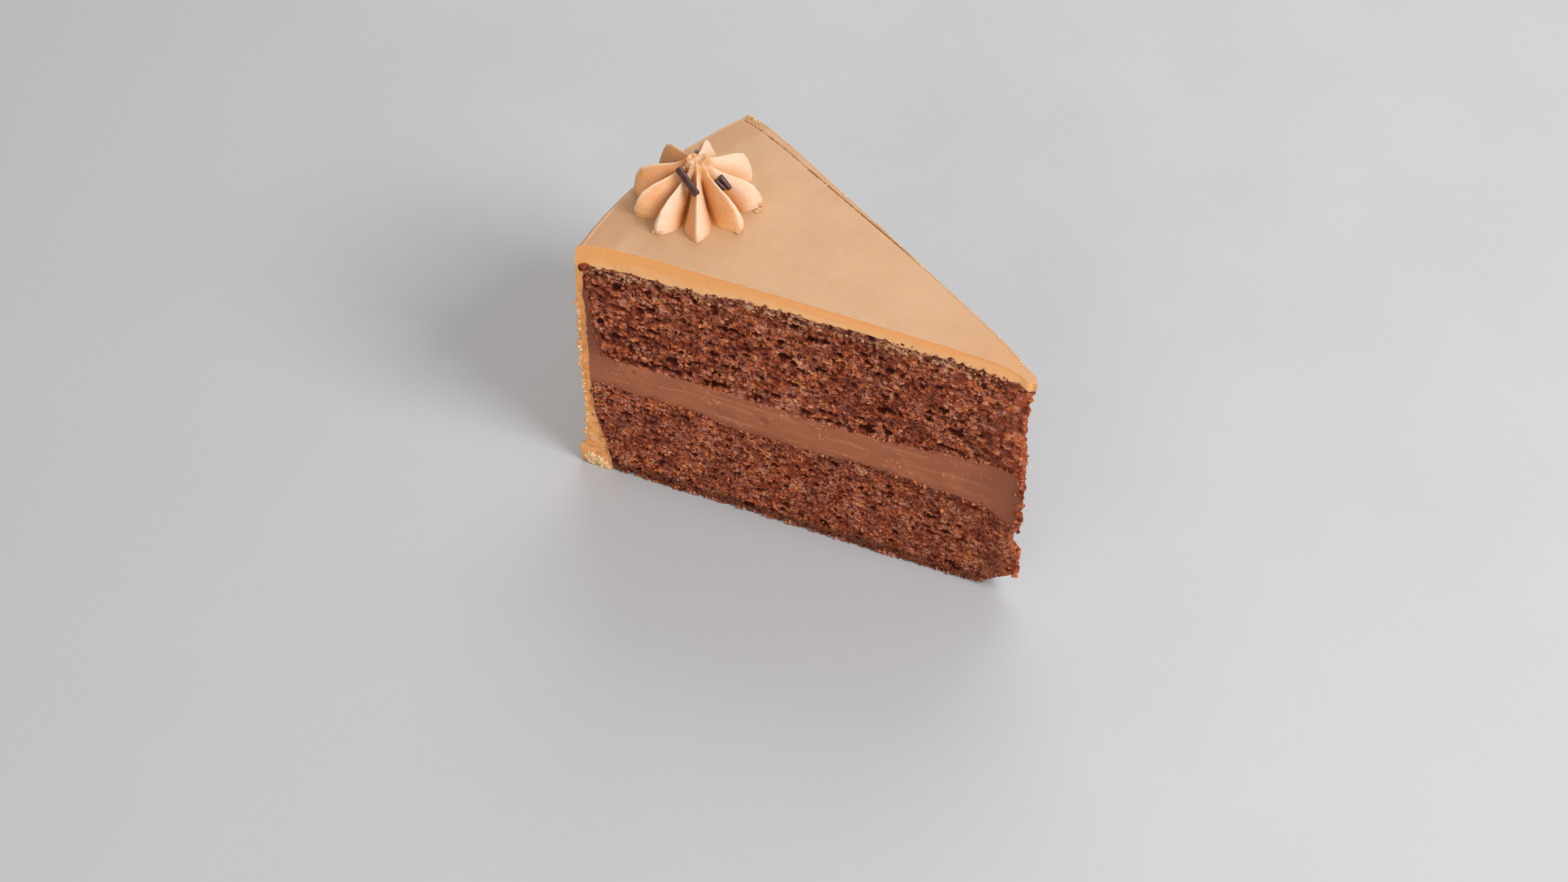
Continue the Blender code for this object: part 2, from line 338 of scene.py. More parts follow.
@dataclass(frozen=True)
class Layers:
    """The lines between the layers, as heights against radius or radii against height.

    Attributes:
        underside: the broken underside, by radius.
        cream_bottom: the chocolate cream's underside, by radius.
        cream_top: its upper side, by radius.
        crown: the upper sponge's upper side, by radius.
        top: the buttercream's upper side, by radius.
        wall_inner: the inner face of the buttercream's wall, by height.
        wall_outer: its outer face, by height.
        sponge_side: the upper sponge's outer side, by height.
        tip: the thin end of the sponges, by height.
    """

    underside: Line = Line(((1, 7.8), (3.5, 6), (7.5, 3.2), (11.4, 0), (124, 0)), 0.5)
    cream_bottom: Line = Line(
        (
            (0, 24.2), (6.3, 24.6), (10, 28), (43, 30), (55, 28.6), (80, 28.6), (88, 30.3),
            (105, 30.2), (120, 30.4)
        )
    )
    cream_top: Line = Line(
        ((0, 41.6), (6, 42.4), (23, 41.8), (31, 40.6), (51, 39.6), (95, 40.1), (120, 39.6))
    )
    crown: Line = Line(
        (
            (0, 71.9), (4, 72.8), (10, 73.4), (18, 73.7), (50, 74.2), (77, 73.4), (88, 71.6),
            (100, 71.7), (120, 70.3)
        )
    )
    top: Line = Line(
        (
            (0, 74), (2, 74.6), (4, 75.4), (8.5, 76.8), (13, 77.5), (25, 77.9), (60, 78.4),
            (100, 78.5), (110, 78), (116, 77), (119, 76.3)
        ),
        1.0,
    )
    wall_inner: Line = Line(
        (
            (0, 113), (10, 114.8), (19, 117.8), (29, 118.4), (44, 118.5), (50.6, 118.7),
            (60, 119.3), (66, 119.1), (71, 118.4)
        )
    )
    wall_outer: Line = Line(
        (
            (0, 121.6), (1.8, 121.7), (4.7, 122.2), (8, 120.1), (18, 120), (28, 120.3),
            (38, 120.9), (70, 120.9), (73.5, 120.6), (75.2, 120.1), (76.3, 118.9)
        ),
        0.8,
    )
    sponge_side: Line = Line(
        (
            (41, 115.5), (46, 116.4), (54, 117.4), (60, 118.1), (61.3, 118.5), (63, 119.2),
            (66, 119.1), (71, 118.4)
        )
    )
    tip: Line = Line(
        (
            (8, 0.95), (16.9, 0.9), (18, 3.2), (21.5, 3), (22.5, 1.3), (24, 2.4), (26, 1.2),
            (42, 1.8), (50, 2.3), (55, 2.9), (64.5, 2.7), (68, 2.1), (73, 2.1)
        ),
        0.3,
    )


def ragged(place: Array, seed: int, broad: float = 0.45, spiky: float = 1.2) -> Array:
    """How far a layer's border strays, in mm: slow waves with narrow spikes upwards.

    Args:
        place: places along the border, in mm.
        seed: picks the border's pattern.
        broad: height of the waves.
        spiky: height of the spikes.

    Returns:
        Heights above the plain border.
    """
    flat = np.zeros(place.shape)
    spikes = np.maximum(fractal(place / 1.3, flat, seed + 1), 0) ** 1.2
    return broad * fractal(place / 5, flat, seed) + spiky * spikes


@dataclass
class Blank:
    """A wedge-shaped block of fine quads, ready to be moulded.

    Attributes:
        mesh: the block.
        along: share of the way from the tip to the outer side, one for each vertex.
        up: share of the way up the section.
        across: share of the way from the near cut to the far one.
    """

    mesh: bpy.types.Mesh
    along: Array
    up: Array
    across: Array

    @classmethod
    def spun(cls, name: str, columns: int, rows: int, steps: int) -> "Blank":
        """Makes the block by spinning a grid a quarter turn.

        Args:
            name: the mesh's name.
            columns: quads from the tip to the outer side.
            rows: quads from the underside up.
            steps: quads from the near cut to the far one.

        Returns:
            The block, closed, with its faces pointing out.
        """
        bm = bmesh.new()
        bmesh.ops.create_grid(bm, x_segments=columns, y_segments=rows, size=0.5)
        bmesh.ops.rotate(bm, verts=bm.verts, matrix=Matrix.Rotation(math.pi / 2, 3, "X"))
        bmesh.ops.translate(bm, verts=bm.verts, vec=(1.5, 0, 0))
        bmesh.ops.spin(
            bm,
            geom=bm.verts[:] + bm.edges[:] + bm.faces[:],
            cent=(0, 0, 0),
            axis=(0, 0, 1),
            angle=math.pi / 2,
            steps=steps,
            use_duplicate=False,
        )
        bmesh.ops.recalc_face_normals(bm, faces=bm.faces)
        mesh = finished(bm, name)
        points = read_points(mesh)
        across = np.arctan2(points[:, 1], points[:, 0]) / (math.pi / 2)
        return cls(
            mesh,
            np.clip(np.hypot(points[:, 0], points[:, 1]) - 1, 0, 1),
            np.clip(points[:, 2] + 0.5, 0, 1),
            np.clip(np.round(across * steps) / steps, 0, 1),
        )

    def on_cut(self, cut: Cut) -> Array:
        """Which vertices lie on that cut face."""
        return self.across == (0 if cut is Cut.NEAR else 1)


def finished(bm: bmesh.types.BMesh, name: str) -> bpy.types.Mesh:
    """Turns a bmesh into a mesh and lets the bmesh go.

    Args:
        bm: the bmesh.
        name: the mesh's name.

    Returns:
        The mesh.
    """
    mesh = bpy.data.meshes.new(name)
    bm.to_mesh(mesh)
    bm.free()
    return mesh


def placed(name: str, data: bpy.types.ID) -> bpy.types.Object:
    """Puts a mesh, a lamp or a camera in the scene.

    Args:
        name: the object's name.
        data: what the object shows.

    Returns:
        The object.
    """
    holder = bpy.data.objects.new(name, data)
    bpy.context.scene.collection.objects.link(holder)
    return holder


def read_points(mesh: bpy.types.Mesh) -> Array:
    """Reads the vertices of a mesh.

    Args:
        mesh: the mesh.

    Returns:
        Their places, one row each.
    """
    points = np.empty(len(mesh.vertices) * 3, np.float32)
    mesh.vertices.foreach_get("co", points)
    return points.reshape(-1, 3).astype(float)


def write_points(mesh: bpy.types.Mesh, points: Array) -> None:
    """Moves the vertices of a mesh and makes its faces point out.

    Args:
        mesh: the mesh.
        points: the new place of each vertex, in mm.
    """
    mesh.vertices.foreach_set("co", (points * MM).astype(np.float32).ravel())
    mesh.calc_loop_triangles()
    corners = np.empty(len(mesh.loop_triangles) * 3, np.int32)
    mesh.loop_triangles.foreach_get("vertices", corners)
    triangles = points[corners.reshape(-1, 3)]
    if np.linalg.det(triangles).sum() < 0:
        mesh.flip_normals()
    mesh.update()


def paint(mesh: bpy.types.Mesh, **layers: Array) -> None:
    """Stores numbers for each vertex, for the materials to read.

    Args:
        mesh: the mesh.
        layers: each layer's name and its numbers.
    """
    for name, values in layers.items():
        layer = mesh.attributes.new(name, "FLOAT", "POINT")
        layer.data.foreach_set("value", np.asarray(values, np.float32))


def ruled(low: Array, high: Array, along: Array, up: Array) -> tuple[Array, Array]:
    """Points between two rows of section points.

    Args:
        low: radius and height of each point of the lower row.
        high: the same for the upper row.
        along: share of the way along the rows.
        up: share of the way from the lower row to the upper.

    Returns:
        Radii and heights.
    """
    stations = np.linspace(0, 1, len(low))
    radius = np.interp(along, stations, low[:, 0]) * (1 - up)
    radius += np.interp(along, stations, high[:, 0]) * up
    height = np.interp(along, stations, low[:, 1]) * (1 - up)
    height += np.interp(along, stations, high[:, 1]) * up
    return radius, height


def add_piece(
    name: str, mesh: bpy.types.Mesh, made: bpy.types.Material, slot: Slot, *nodes: str
) -> bpy.types.Object:
    """Shows a finished mesh as a piece of the slice.

    Args:
        name: the piece's name.
        mesh: its mesh, in place.
        made: its material.
        slot: the record's slot that it belongs to; not used.
        nodes: the model's solids that it stands for.

    Returns:
        The piece.
    """
    mesh.name = name
    mesh.materials.append(made)
    mesh.shade_smooth()
    piece = placed(name, mesh)
    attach(piece, BODY)
    if nodes:
        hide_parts(*nodes)
    LOG.info("%s: %d faces", name, len(mesh.polygons))
    return piece


def thinned(mesh: bpy.types.Mesh) -> bpy.types.Mesh:
    """Thins a mesh that has too many triangles, most of all where it is flat.

    Args:
        mesh: the mesh, which goes if it is thinned.

    Returns:
        The same mesh, or a thinner one in its place.
    """
    triangles = sum(len(face.vertices) - 2 for face in mesh.polygons)
    if triangles <= MOST_TRIANGLES:
        return mesh
    holder = placed("thinning", mesh)
    decimate = holder.modifiers.new("thin", "DECIMATE")
    decimate.ratio = MOST_TRIANGLES / triangles
    graph = bpy.context.evaluated_depsgraph_get()
    thin = bpy.data.meshes.new_from_object(holder.evaluated_get(graph))
    bpy.data.objects.remove(holder)
    bpy.data.meshes.remove(mesh)
    return thin


# Materials

Socket = bpy.types.NodeSocket
Given = Socket | float | Colour


class Paint:
    """A node tree being laid out: each call adds a node and returns its output."""

    def __init__(self, name: str) -> None:
        """Starts a material with a Principled shader.

        Args:
            name: the material's name.
        """
        self.material = bpy.data.materials.new(name)
        self.material.use_nodes = True
        self.nodes = self.material.node_tree.nodes
        self.links = self.material.node_tree.links
        self.shader = self.nodes["Principled BSDF"]
        self.place = self.nodes.new("ShaderNodeTexCoord").outputs["Object"]

    def put(self, socket: Socket, value: Given) -> None:
        """Sets a socket to a value, or links it to another node's output.

        Args:
            socket: the socket.
            value: a number, a colour or another node's output.
        """
        if isinstance(value, Socket):
            self.links.new(value, socket)
        elif isinstance(value, tuple) and len(value) == 3 and socket.type == "RGBA":
            socket.default_value = (*value, 1)
        else:
            socket.default_value = value

    def set(self, **inputs: Given) -> None:
        """Sets the shader's inputs, with _ for a space in their names."""
        for name, value in inputs.items():
            self.put(self.shader.inputs[name.replace("_", " ")], value)

    def painted(self, name: str) -> Socket:
        """Reads a number stored on the mesh.

        Args:
            name: its layer's name.

        Returns:
            The number.
        """
        node = self.nodes.new("ShaderNodeAttribute")
        node.attribute_name = name
        return node.outputs["Fac"]

    def noise(self, size: float, detail: float = 3, vector: Socket | None = None) -> Socket:
        """Cloudy noise from 0 to 1.

        Args:
            size: width of its features, in mm.
            detail: octaves of finer noise.
            vector: coordinates other than plain Object ones.

        Returns:
            The noise.
        """
        node = self.nodes.new("ShaderNodeTexNoise")
        self.put(node.inputs["Vector"], vector or self.place)
        node.inputs["Scale"].default_value = 1 / (size * MM)
        node.inputs["Detail"].default_value = detail
        return node.outputs["Fac"]

    def warped(self, size: float, amount: float) -> Socket:
        """Object coordinates pushed about in swirls.

        Args:
            size: width of the swirls, in mm.
            amount: greatest push, in mm.

        Returns:
            The coordinates.
        """
        swirl = self.nodes.new("ShaderNodeTexNoise")
        self.put(swirl.inputs["Vector"], self.place)
        swirl.inputs["Scale"].default_value = 1 / (size * MM)
        centre = self.nodes.new("ShaderNodeVectorMath")
        centre.operation = "SUBTRACT"
        self.put(centre.inputs[0], swirl.outputs["Color"])
        centre.inputs[1].default_value = (0.5, 0.5, 0.5)
        shift = self.nodes.new("ShaderNodeVectorMath")
        shift.operation = "MULTIPLY_ADD"
        self.put(shift.inputs[0], centre.outputs["Vector"])
        shift.inputs[1].default_value = (2 * amount * MM,) * 3
        self.put(shift.inputs[2], self.place)
        return shift.outputs["Vector"]

    def grains(self, size: float, vector: Socket | None = None) -> tuple[Socket, Socket]:
        """Grains in random places.

        Args:
            size: how far apart they are, in mm.
            vector: coordinates other than plain Object ones.

        Returns:
            The distance from each one's middle and its tone.
        """
        node = self.nodes.new("ShaderNodeTexVoronoi")
        self.put(node.inputs["Vector"], vector or self.place)
        node.inputs["Scale"].default_value = 1 / (size * MM)
        tone = self.nodes.new("ShaderNodeSeparateColor")
        self.put(tone.inputs["Color"], node.outputs["Color"])
        return node.outputs["Distance"], tone.outputs["Red"]

    def ramp(self, value: Socket, places: tuple[float, ...], colours: tuple[Colour, ...]) -> Socket:
        """Colours picked by a number from 0 to 1.

        Args:
            value: the number.
            places: places on the scale.
            colours: the colour at each place.

        Returns:
            The colour.
        """
        node = self.nodes.new("ShaderNodeValToRGB")
        self.put(node.inputs["Fac"], value)
        elements = node.color_ramp.elements
        while len(elements) < len(places):
            elements.new(1)
        for element, at, colour in zip(elements, places, colours):
            element.position = at
            element.color = (*colour, 1)
        return node.outputs["Color"]

    def fit(
        self, value: Given, low: float, high: float, to_low: float = 0, to_high: float = 1
    ) -> Socket:
        """Carries one stretch of numbers onto another, and holds it past the ends.

        Args:
            value: the number.
            low: start of its stretch.
            high: end of its stretch.
            to_low: what the start becomes.
            to_high: what the end becomes.

        Returns:
            The new number.
        """
        node = self.nodes.new("ShaderNodeMapRange")
        for socket, given in zip(node.inputs, (value, low, high, to_low, to_high)):
            self.put(socket, given)
        return node.outputs["Result"]

    def sums(self, operation: str, first: Given, second: Given = 0.0, third: Given = 0.0) -> Socket:
        """One step of arithmetic.

        Args:
            operation: the Math node's name for it.
            first: a number.
            second: another.
            third: one more, where the step takes three.

        Returns:
            The outcome.
        """
        node = self.nodes.new("ShaderNodeMath")
        node.operation = operation
        for socket, given in zip(node.inputs, (first, second, third)):
            self.put(socket, given)
        return node.outputs["Value"]

    def mix(self, share: Given, first: Given, second: Given) -> Socket:
        """A blend from one colour to another.

        Args:
            share: share of the second colour, from 0 to 1.
            first: a colour.
            second: another.

        Returns:
            The blend.
        """
        node = self.nodes.new("ShaderNodeMix")
        node.data_type = "RGBA"
        for name, given in (("Factor_Float", share), ("A_Color", first), ("B_Color", second)):
            self.put(next(s for s in node.inputs if s.identifier == name), given)
        return next(s for s in node.outputs if s.identifier == "Result_Color")

    def over(self, colour: Given, name: str, weight: Given, other: Colour) -> Socket:
        """Lays a colour over another where a number stored on the mesh is high.

        Args:
            colour: the colour below.
            name: the number's layer.
            weight: what the number is multiplied by.
            other: the colour laid over.

        Returns:
            The blend.
        """
        return self.mix(self.sums("MULTIPLY", self.painted(name), weight), colour, other)

    def bump(self, height: Given, depth: float, strength: float = 1.0) -> None:
        """Gives the surface fine relief.

        Args:
            height: its pattern.
            depth: its depth, in mm.
            strength: how much of it counts.
        """
        node = self.nodes.new("ShaderNodeBump")
        self.put(node.inputs["Height"], height)
        node.inputs["Distance"].default_value = depth * MM
        node.inputs["Strength"].default_value = strength
        self.put(self.shader.inputs["Normal"], node.outputs["Normal"])

    def inside(self, weight: float, depth: float, tint: Colour) -> None:
        """Lets light go in and out again.

        Args:
            weight: how much of it does.
            depth: how far it reaches, in mm.
            tint: how far each of its colours reaches against that.
        """
        self.shader.inputs["Subsurface Weight"].default_value = weight
        self.shader.inputs["Subsurface Scale"].default_value = depth * MM
        self.shader.inputs["Subsurface Radius"].default_value = tint


@dataclass(frozen=True)
class SpongeFinish:
    """Moist chocolate crumb: orange-brown on its raised crumbs, with painted shade that makes its
    pores nearly black.

    Attributes:
        grain: width of the finest crumbs, in mm.
        deep: painted shade at the bottoms of the pores.
        dark: painted shade in the creases, and the darkest vivid crumbs.
        body: most vivid crumbs.
        warm: raised vivid crumbs.
        pale: the brightest vivid crumbs.
        dull: the same four where the sponge is drier.
        stops: where the four lie on the scale of tones.
        smear: crumbs smeared with buttercream.
        soot: darker patches.
        crust_and_shade: the baked foot, a darker band under the buttercream, and painted shade
            towards the thin end.
        glow: painted light at the thin end, as if lit from behind.
    """

    grain: float = 0.9
    deep: Colour = (0.07, 0.006, 0.001)
    dark: Colour = (0.24, 0.038, 0.012)
    body: Colour = (0.52, 0.125, 0.044)
    warm: Colour = (0.74, 0.235, 0.075)
    pale: Colour = (0.76, 0.34, 0.155)
    dull: tuple[Colour, ...] = (
        (0.20, 0.048, 0.028), (0.42, 0.128, 0.075), (0.58, 0.22, 0.14), (0.66, 0.33, 0.23)
    )
    stops: tuple[float, ...] = (0.08, 0.42, 0.72, 0.98)
    smear: Colour = (0.72, 0.44, 0.25)
    soot: Colour = (0.15, 0.045, 0.027)
    crust_and_shade: Colour = (0.085, 0.036, 0.018)
    glow: Colour = (0.66, 0.135, 0.028)

    def build(self, name: str) -> bpy.types.Material:
        """Lays out the material.

        Args:
            name: its name.

        Returns:
            The material, which reads drop, tone, smear, crust and edge from its mesh.
        """
        p = Paint(name)
        torn = p.warped(0.8, 0.5)
        grain, grain_tone = p.grains(self.grain, torn)
        tone = p.painted("tone")
        for uneven in (
            p.fit(grain_tone, 0, 1, -0.2, 0.2),
            p.fit(p.noise(0.3), 0.3, 0.7, -0.11, 0.11),
            p.fit(p.noise(5), 0.35, 0.65, -0.25, 0.19),
        ):
            tone = p.sums("ADD", tone, uneven)
        vivid = p.ramp(tone, self.stops, (self.dark, self.body, self.warm, self.pale))
        dull = p.ramp(tone, self.stops, self.dull)
        crumb = p.mix(p.fit(p.noise(2.4, 4), 0.42, 0.58), vivid, dull)
        # The dark baked foot, a darker band under the buttercream, and painted shade towards the
        # thin end.
        crumb = p.over(crumb, "crust_and_shade", 0.8, self.crust_and_shade)
        crumb = p.mix(p.fit(p.noise(6.5), 0.54, 0.68, 0, 0.55), crumb, self.soot)
        crumb = p.mix(p.painted("smear"), crumb, self.smear)
        # Painted light: the thin end glows orange-red, as if lit from behind.
        crumb = p.over(crumb, "edge", 0.8, self.glow)
        # Painted shade: noise pores and the creases between grains go dark, and places that lie
        # deep on the mesh go nearly black.
        hole = p.fit(p.noise(self.grain * 1.3, 3, torn), 0.37, 0.43, 1, 0)
        crease = p.sums("MAXIMUM", p.fit(grain, 0.45, 0.75, 0, 0.75), hole)
        crumb = p.mix(crease, crumb, self.dark)
        pore_shade = p.sums("MULTIPLY_ADD", hole, 0.45, p.fit(p.painted("drop"), 0.5, 1.3))
        colour = p.mix(pore_shade, crumb, self.deep)
        wet = p.fit(p.noise(0.9, 2), 0.54, 0.63, 0.8, 0.16)
        p.set(Base_Color=colour, Roughness=wet, Specular_IOR_Level=0.22)
        rough = p.sums("MULTIPLY_ADD", p.noise(0.42, 4), 1.6, p.sums("MULTIPLY", hole, -1.7))
        p.bump(p.sums("SUBTRACT", rough, grain), 0.34, 1.0)
        p.inside(0.04, 0.8, (1.0, 0.25, 0.1))
        return p.material


@dataclass(frozen=True)
class CreamFinish:
    """Smooth chocolate cream, streaked along the cut by the knife.

    Attributes:
        body: its middle colour.
        dark: cloudy patches, and where it is in shade.
        pale: streaks and flecks.
    """

    body: Colour = (0.36, 0.108, 0.045)
    dark: Colour = (0.20, 0.056, 0.026)
    pale: Colour = (0.62, 0.29, 0.15)

    def build(self, name: str) -> bpy.types.Material:
        """Lays out the material.

        Args:
            name: its name.

        Returns:
            The material, which reads streak, fleck and shade from its mesh.
        """
        p = Paint(name)
        cloudy = p.fit(p.noise(7), 0.35, 0.7)
        colour = p.mix(p.sums("MULTIPLY", cloudy, 0.35), self.body, self.dark)
        colour = p.over(colour, "streak", 0.3, self.pale)
        colour = p.mix(p.painted("fleck"), colour, self.pale)
        colour = p.mix(p.painted("shade"), colour, self.dark)
        p.set(Base_Color=colour, Roughness=p.fit(p.noise(3), 0.3, 0.7, 0.38, 0.62))
        p.set(Specular_IOR_Level=0.3)
        p.bump(p.noise(0.5), 0.05, 0.6)
        p.inside(0.15, 1.0, (1.0, 0.4, 0.2))
        return p.material


@dataclass(frozen=True)
class ButtercreamFinish:
    """Tan buttercream: satin, a little see-through, with deeper orange painted on its cut faces as
    shade and warm bounced light.

    Attributes:
        top: the smoothed top.
        cut: the cut faces, painted deeper orange as shade and warm bounced light.
        crack: painted shade in the score and along the lower border.
        pale: pale flecks and edges.
        rim: the top's outer rim and its tip.
        wall: the torn wall.
        blotch: darker blotches on the wall.
    """

    top: Colour = (0.57, 0.327, 0.168)
    cut: Colour = (0.84, 0.375, 0.115)
    crack: Colour = (0.46, 0.18, 0.06)
    pale: Colour = (0.86, 0.58, 0.34)
    rim: Colour = (0.56, 0.28, 0.125)
    wall: Colour = (0.72, 0.28, 0.055)
    blotch: Colour = (0.50, 0.19, 0.05)

    def build(self, name: str) -> bpy.types.Material:
        """Lays out the material.

        Args:
            name: its name.

        Returns:
            The material, which reads cut, crack, pale, rim and torn from its mesh.
        """
        p = Paint(name)
        mottled = p.fit(p.noise(9, 4), 0.3, 0.7)
        colour = p.mix(p.sums("MULTIPLY", mottled, 0.12), self.top, self.pale)
        # Painted light: the cut faces go deeper orange, standing in for shade and warm bounced
        # light.
        for layer, tint in (("rim", self.rim), ("cut", self.cut), ("pale", self.pale)):
            colour = p.mix(p.painted(layer), colour, tint)
        colour = p.over(colour, "torn", 0.6, self.wall)
        patches = p.sums("MULTIPLY", p.fit(p.noise(1.5, 4), 0.45, 0.62), 0.8)
        colour = p.over(colour, "torn", patches, self.blotch)
        light = p.sums("MULTIPLY", p.fit(p.noise(2.4, 5), 0.54, 0.7), 0.4)
        colour = p.over(colour, "torn", light, self.pale)
        # Painted shade in the score and along the wall's lower border.
        colour = p.mix(p.painted("crack"), colour, self.crack)
        p.set(Base_Color=colour, Roughness=p.fit(p.noise(2.5, 4), 0.3, 0.7, 0.5, 0.66))
        pit, _ = p.grains(3.4)
        fine = p.sums("ADD", p.noise(0.4, 2), p.fit(pit, 0.02, 0.07, -0.9, 0))
        wrinkle = p.sums("MULTIPLY_ADD", p.noise(2.6, 5), 0.9, fine)
        p.bump(wrinkle, 0.13, 0.4)
        p.inside(0.25, 1.6, (1.0, 0.5, 0.22))
        return p.material


@dataclass(frozen=True)
class PipedFinish:
    """Piped buttercream: paler than the coating, with painted shade in its grooves and on the
    flanks turned from the light.

    Attributes:
        crest: the lobes' backs.
        groove: painted shade in the grooves and on the shaded flanks.
        deep: painted shade at the bottoms of the grooves.
        torn: the torn peak and the ragged ends.
    """

    crest: Colour = (0.80, 0.57, 0.40)
    groove: Colour = (0.70, 0.30, 0.085)
    deep: Colour = (0.42, 0.15, 0.04)
    torn: Colour = (0.64, 0.31, 0.105)

    def build(self, name: str) -> bpy.types.Material:
        """Lays out the material.

        Args:
            name: its name.

        Returns:
            The material, which reads hollow and torn from its mesh.
        """
        p = Paint(name)
        # Painted shade: the grooves and the flanks turned from the light go orange, and the bottoms
        # of the grooves go darker.
        hollow = p.sums("ADD", p.painted("hollow"), p.fit(p.noise(4), 0.3, 0.7, -0.1, 0.1))
        colour = p.mix(hollow, self.crest, self.groove)
        colour = p.mix(p.fit(p.painted("hollow"), 0.9, 1.3), colour, self.deep)
        colour = p.over(colour, "torn", p.fit(p.noise(1.1), 0.4, 0.6, 0.7, 1), self.torn)
        p.set(Base_Color=colour, Roughness=p.fit(p.noise(2), 0.3, 0.7, 0.5, 0.66))
        pit, _ = p.grains(2.3)
        fine = p.sums("ADD", p.noise(0.35, 2), p.fit(pit, 0.03, 0.11, -1.6, 0))
        p.bump(p.sums("MULTIPLY_ADD", p.noise(1.4, 5), 1.6, fine), 0.16, 0.6)
        p.inside(0.3, 1.8, CREAM_REACH)
        return p.material


@dataclass(frozen=True)
class PlainFinish:
    """A finish in one colour with a little unevenness.

    Attributes:
        colour: its middle colour.
        other: the colour that its patches lean to.
        patch: width of the patches, in mm.
        rough: roughness.
        relief: depth of its fine bumps, in mm.
        inside: weight of the light that goes in and out again.
    """

    colour: Colour
    other: Colour
    patch: float = 1.0
    rough: float = 0.5
    relief: float = 0.05
    inside: float = 0.0

    def build(self, name: str) -> bpy.types.Material:
        """Lays out the material.

        Args:
            name: its name.

        Returns:
            The material.
        """
        p = Paint(name)
        patches = p.noise(self.patch)
        p.set(Base_Color=p.mix(p.fit(patches, 0.35, 0.65), self.colour, self.other))
        p.set(Roughness=p.fit(patches, 0.3, 0.7, self.rough - 0.08, self.rough + 0.08))
        p.bump(p.noise(self.patch / 3), self.relief, 0.7)
        p.inside(self.inside, 1.0, CREAM_REACH)
        return p.material


# The sponges


@dataclass
class Crumb:
    """The cut surface of a sponge.

    Attributes:
        coarse: size of the crumbs against the upper sponge's.
        seed: picks the pattern.
        pores: the sizes of pore in it.
        lump: width and height of its larger crumbs, in mm.
        bead: width and height of its smaller crumbs, in mm.
        lump_step: how much deeper one larger crumb may lie than another, in mm.
        lump_crease: depth of the creases between the larger crumbs, in mm.
        bead_crease: depth of the creases between the smaller crumbs, in mm.
        roughness: depth of the torn surface between them, in mm.
    """

    coarse: float = 1.0
    seed: int = 5
    pores: tuple[Pores, ...] = (
        Pores(7.5, 0.5, 1.35, 2.8, 1.7),
        Pores(3.3, 0.75, 0.95, 2.4, 1.6),
        Pores(1.9, 0.7, 0.6, 1.7, 1.4),
    )
    lump: tuple[float, float] = (2.1, 1.5)
    bead: tuple[float, float] = (0.95, 0.75)
    lump_step: float = 0.34
    lump_crease: float = 0.34
    bead_crease: float = 0.14
    roughness: float = 0.55

    def shape(self, along: Array, height: Array, cut: Cut) -> tuple[Array, Array]:
        """Relief of the crumb.

        Args:
            along: radii on the cut face, in mm.
            height: heights on the cut face, in mm.
            cut: which cut face.

        Returns:
            How far each place lies under the cut plane, in mm, and its tone from 0 to 1, lowered
            where it lies deeper as painted shade.
        """
        seed = self.seed + 40 * (cut is Cut.FAR)
        x, y = along / self.coarse, height / self.coarse
        warped_x = x + 0.5 * fractal(x / 1.6, y / 1.6, seed + 20)
        warped_y = y + 0.4 * fractal(x / 1.4, y / 1.4, seed + 23)
        holes = np.zeros(along.shape)
        for number, size in enumerate(self.pores):
            holes = np.maximum(holes, size.depth(warped_x, warped_y, seed + 50 + 10 * number))
        wide, tall = self.lump
        middle, crease, tone = cells(warped_x / wide, warped_y / tall, seed + 90)
        wide, tall = self.bead
        small, small_crease, small_tone = cells(warped_x / wide, warped_y / tall, seed + 95)
        level = scatter(np.floor(tone * 997), np.zeros(tone.shape), seed)
        drop = self.lump_step * level**1.6 + 0.1 * middle**2 + 0.08 * small**2
        drop += self.lump_crease * (1 - ease(0, 0.2, crease)) + self.bead_crease * (
            1 - ease(0, 0.3, small_crease)
        )
        drop += self.roughness * np.abs(fractal(x / 1.5, y / 0.9, seed + 30))
        drop += 0.1 * (1 + fractal(x / 9, y / 9, seed + 33))
        drop = np.maximum(drop, holes)
        patches = 0.5 + 0.5 * fractal(x / 6, y / 5, seed + 36)
        mixed = 0.4 * tone + 0.3 * small_tone + 0.3 * patches
        # Painted shade: the tone drops where the crumb lies deeper.
        mixed += 0.4 * (0.5 - np.clip(drop, 0, 1))
        return drop * self.coarse, np.clip(mixed, 0, 1)


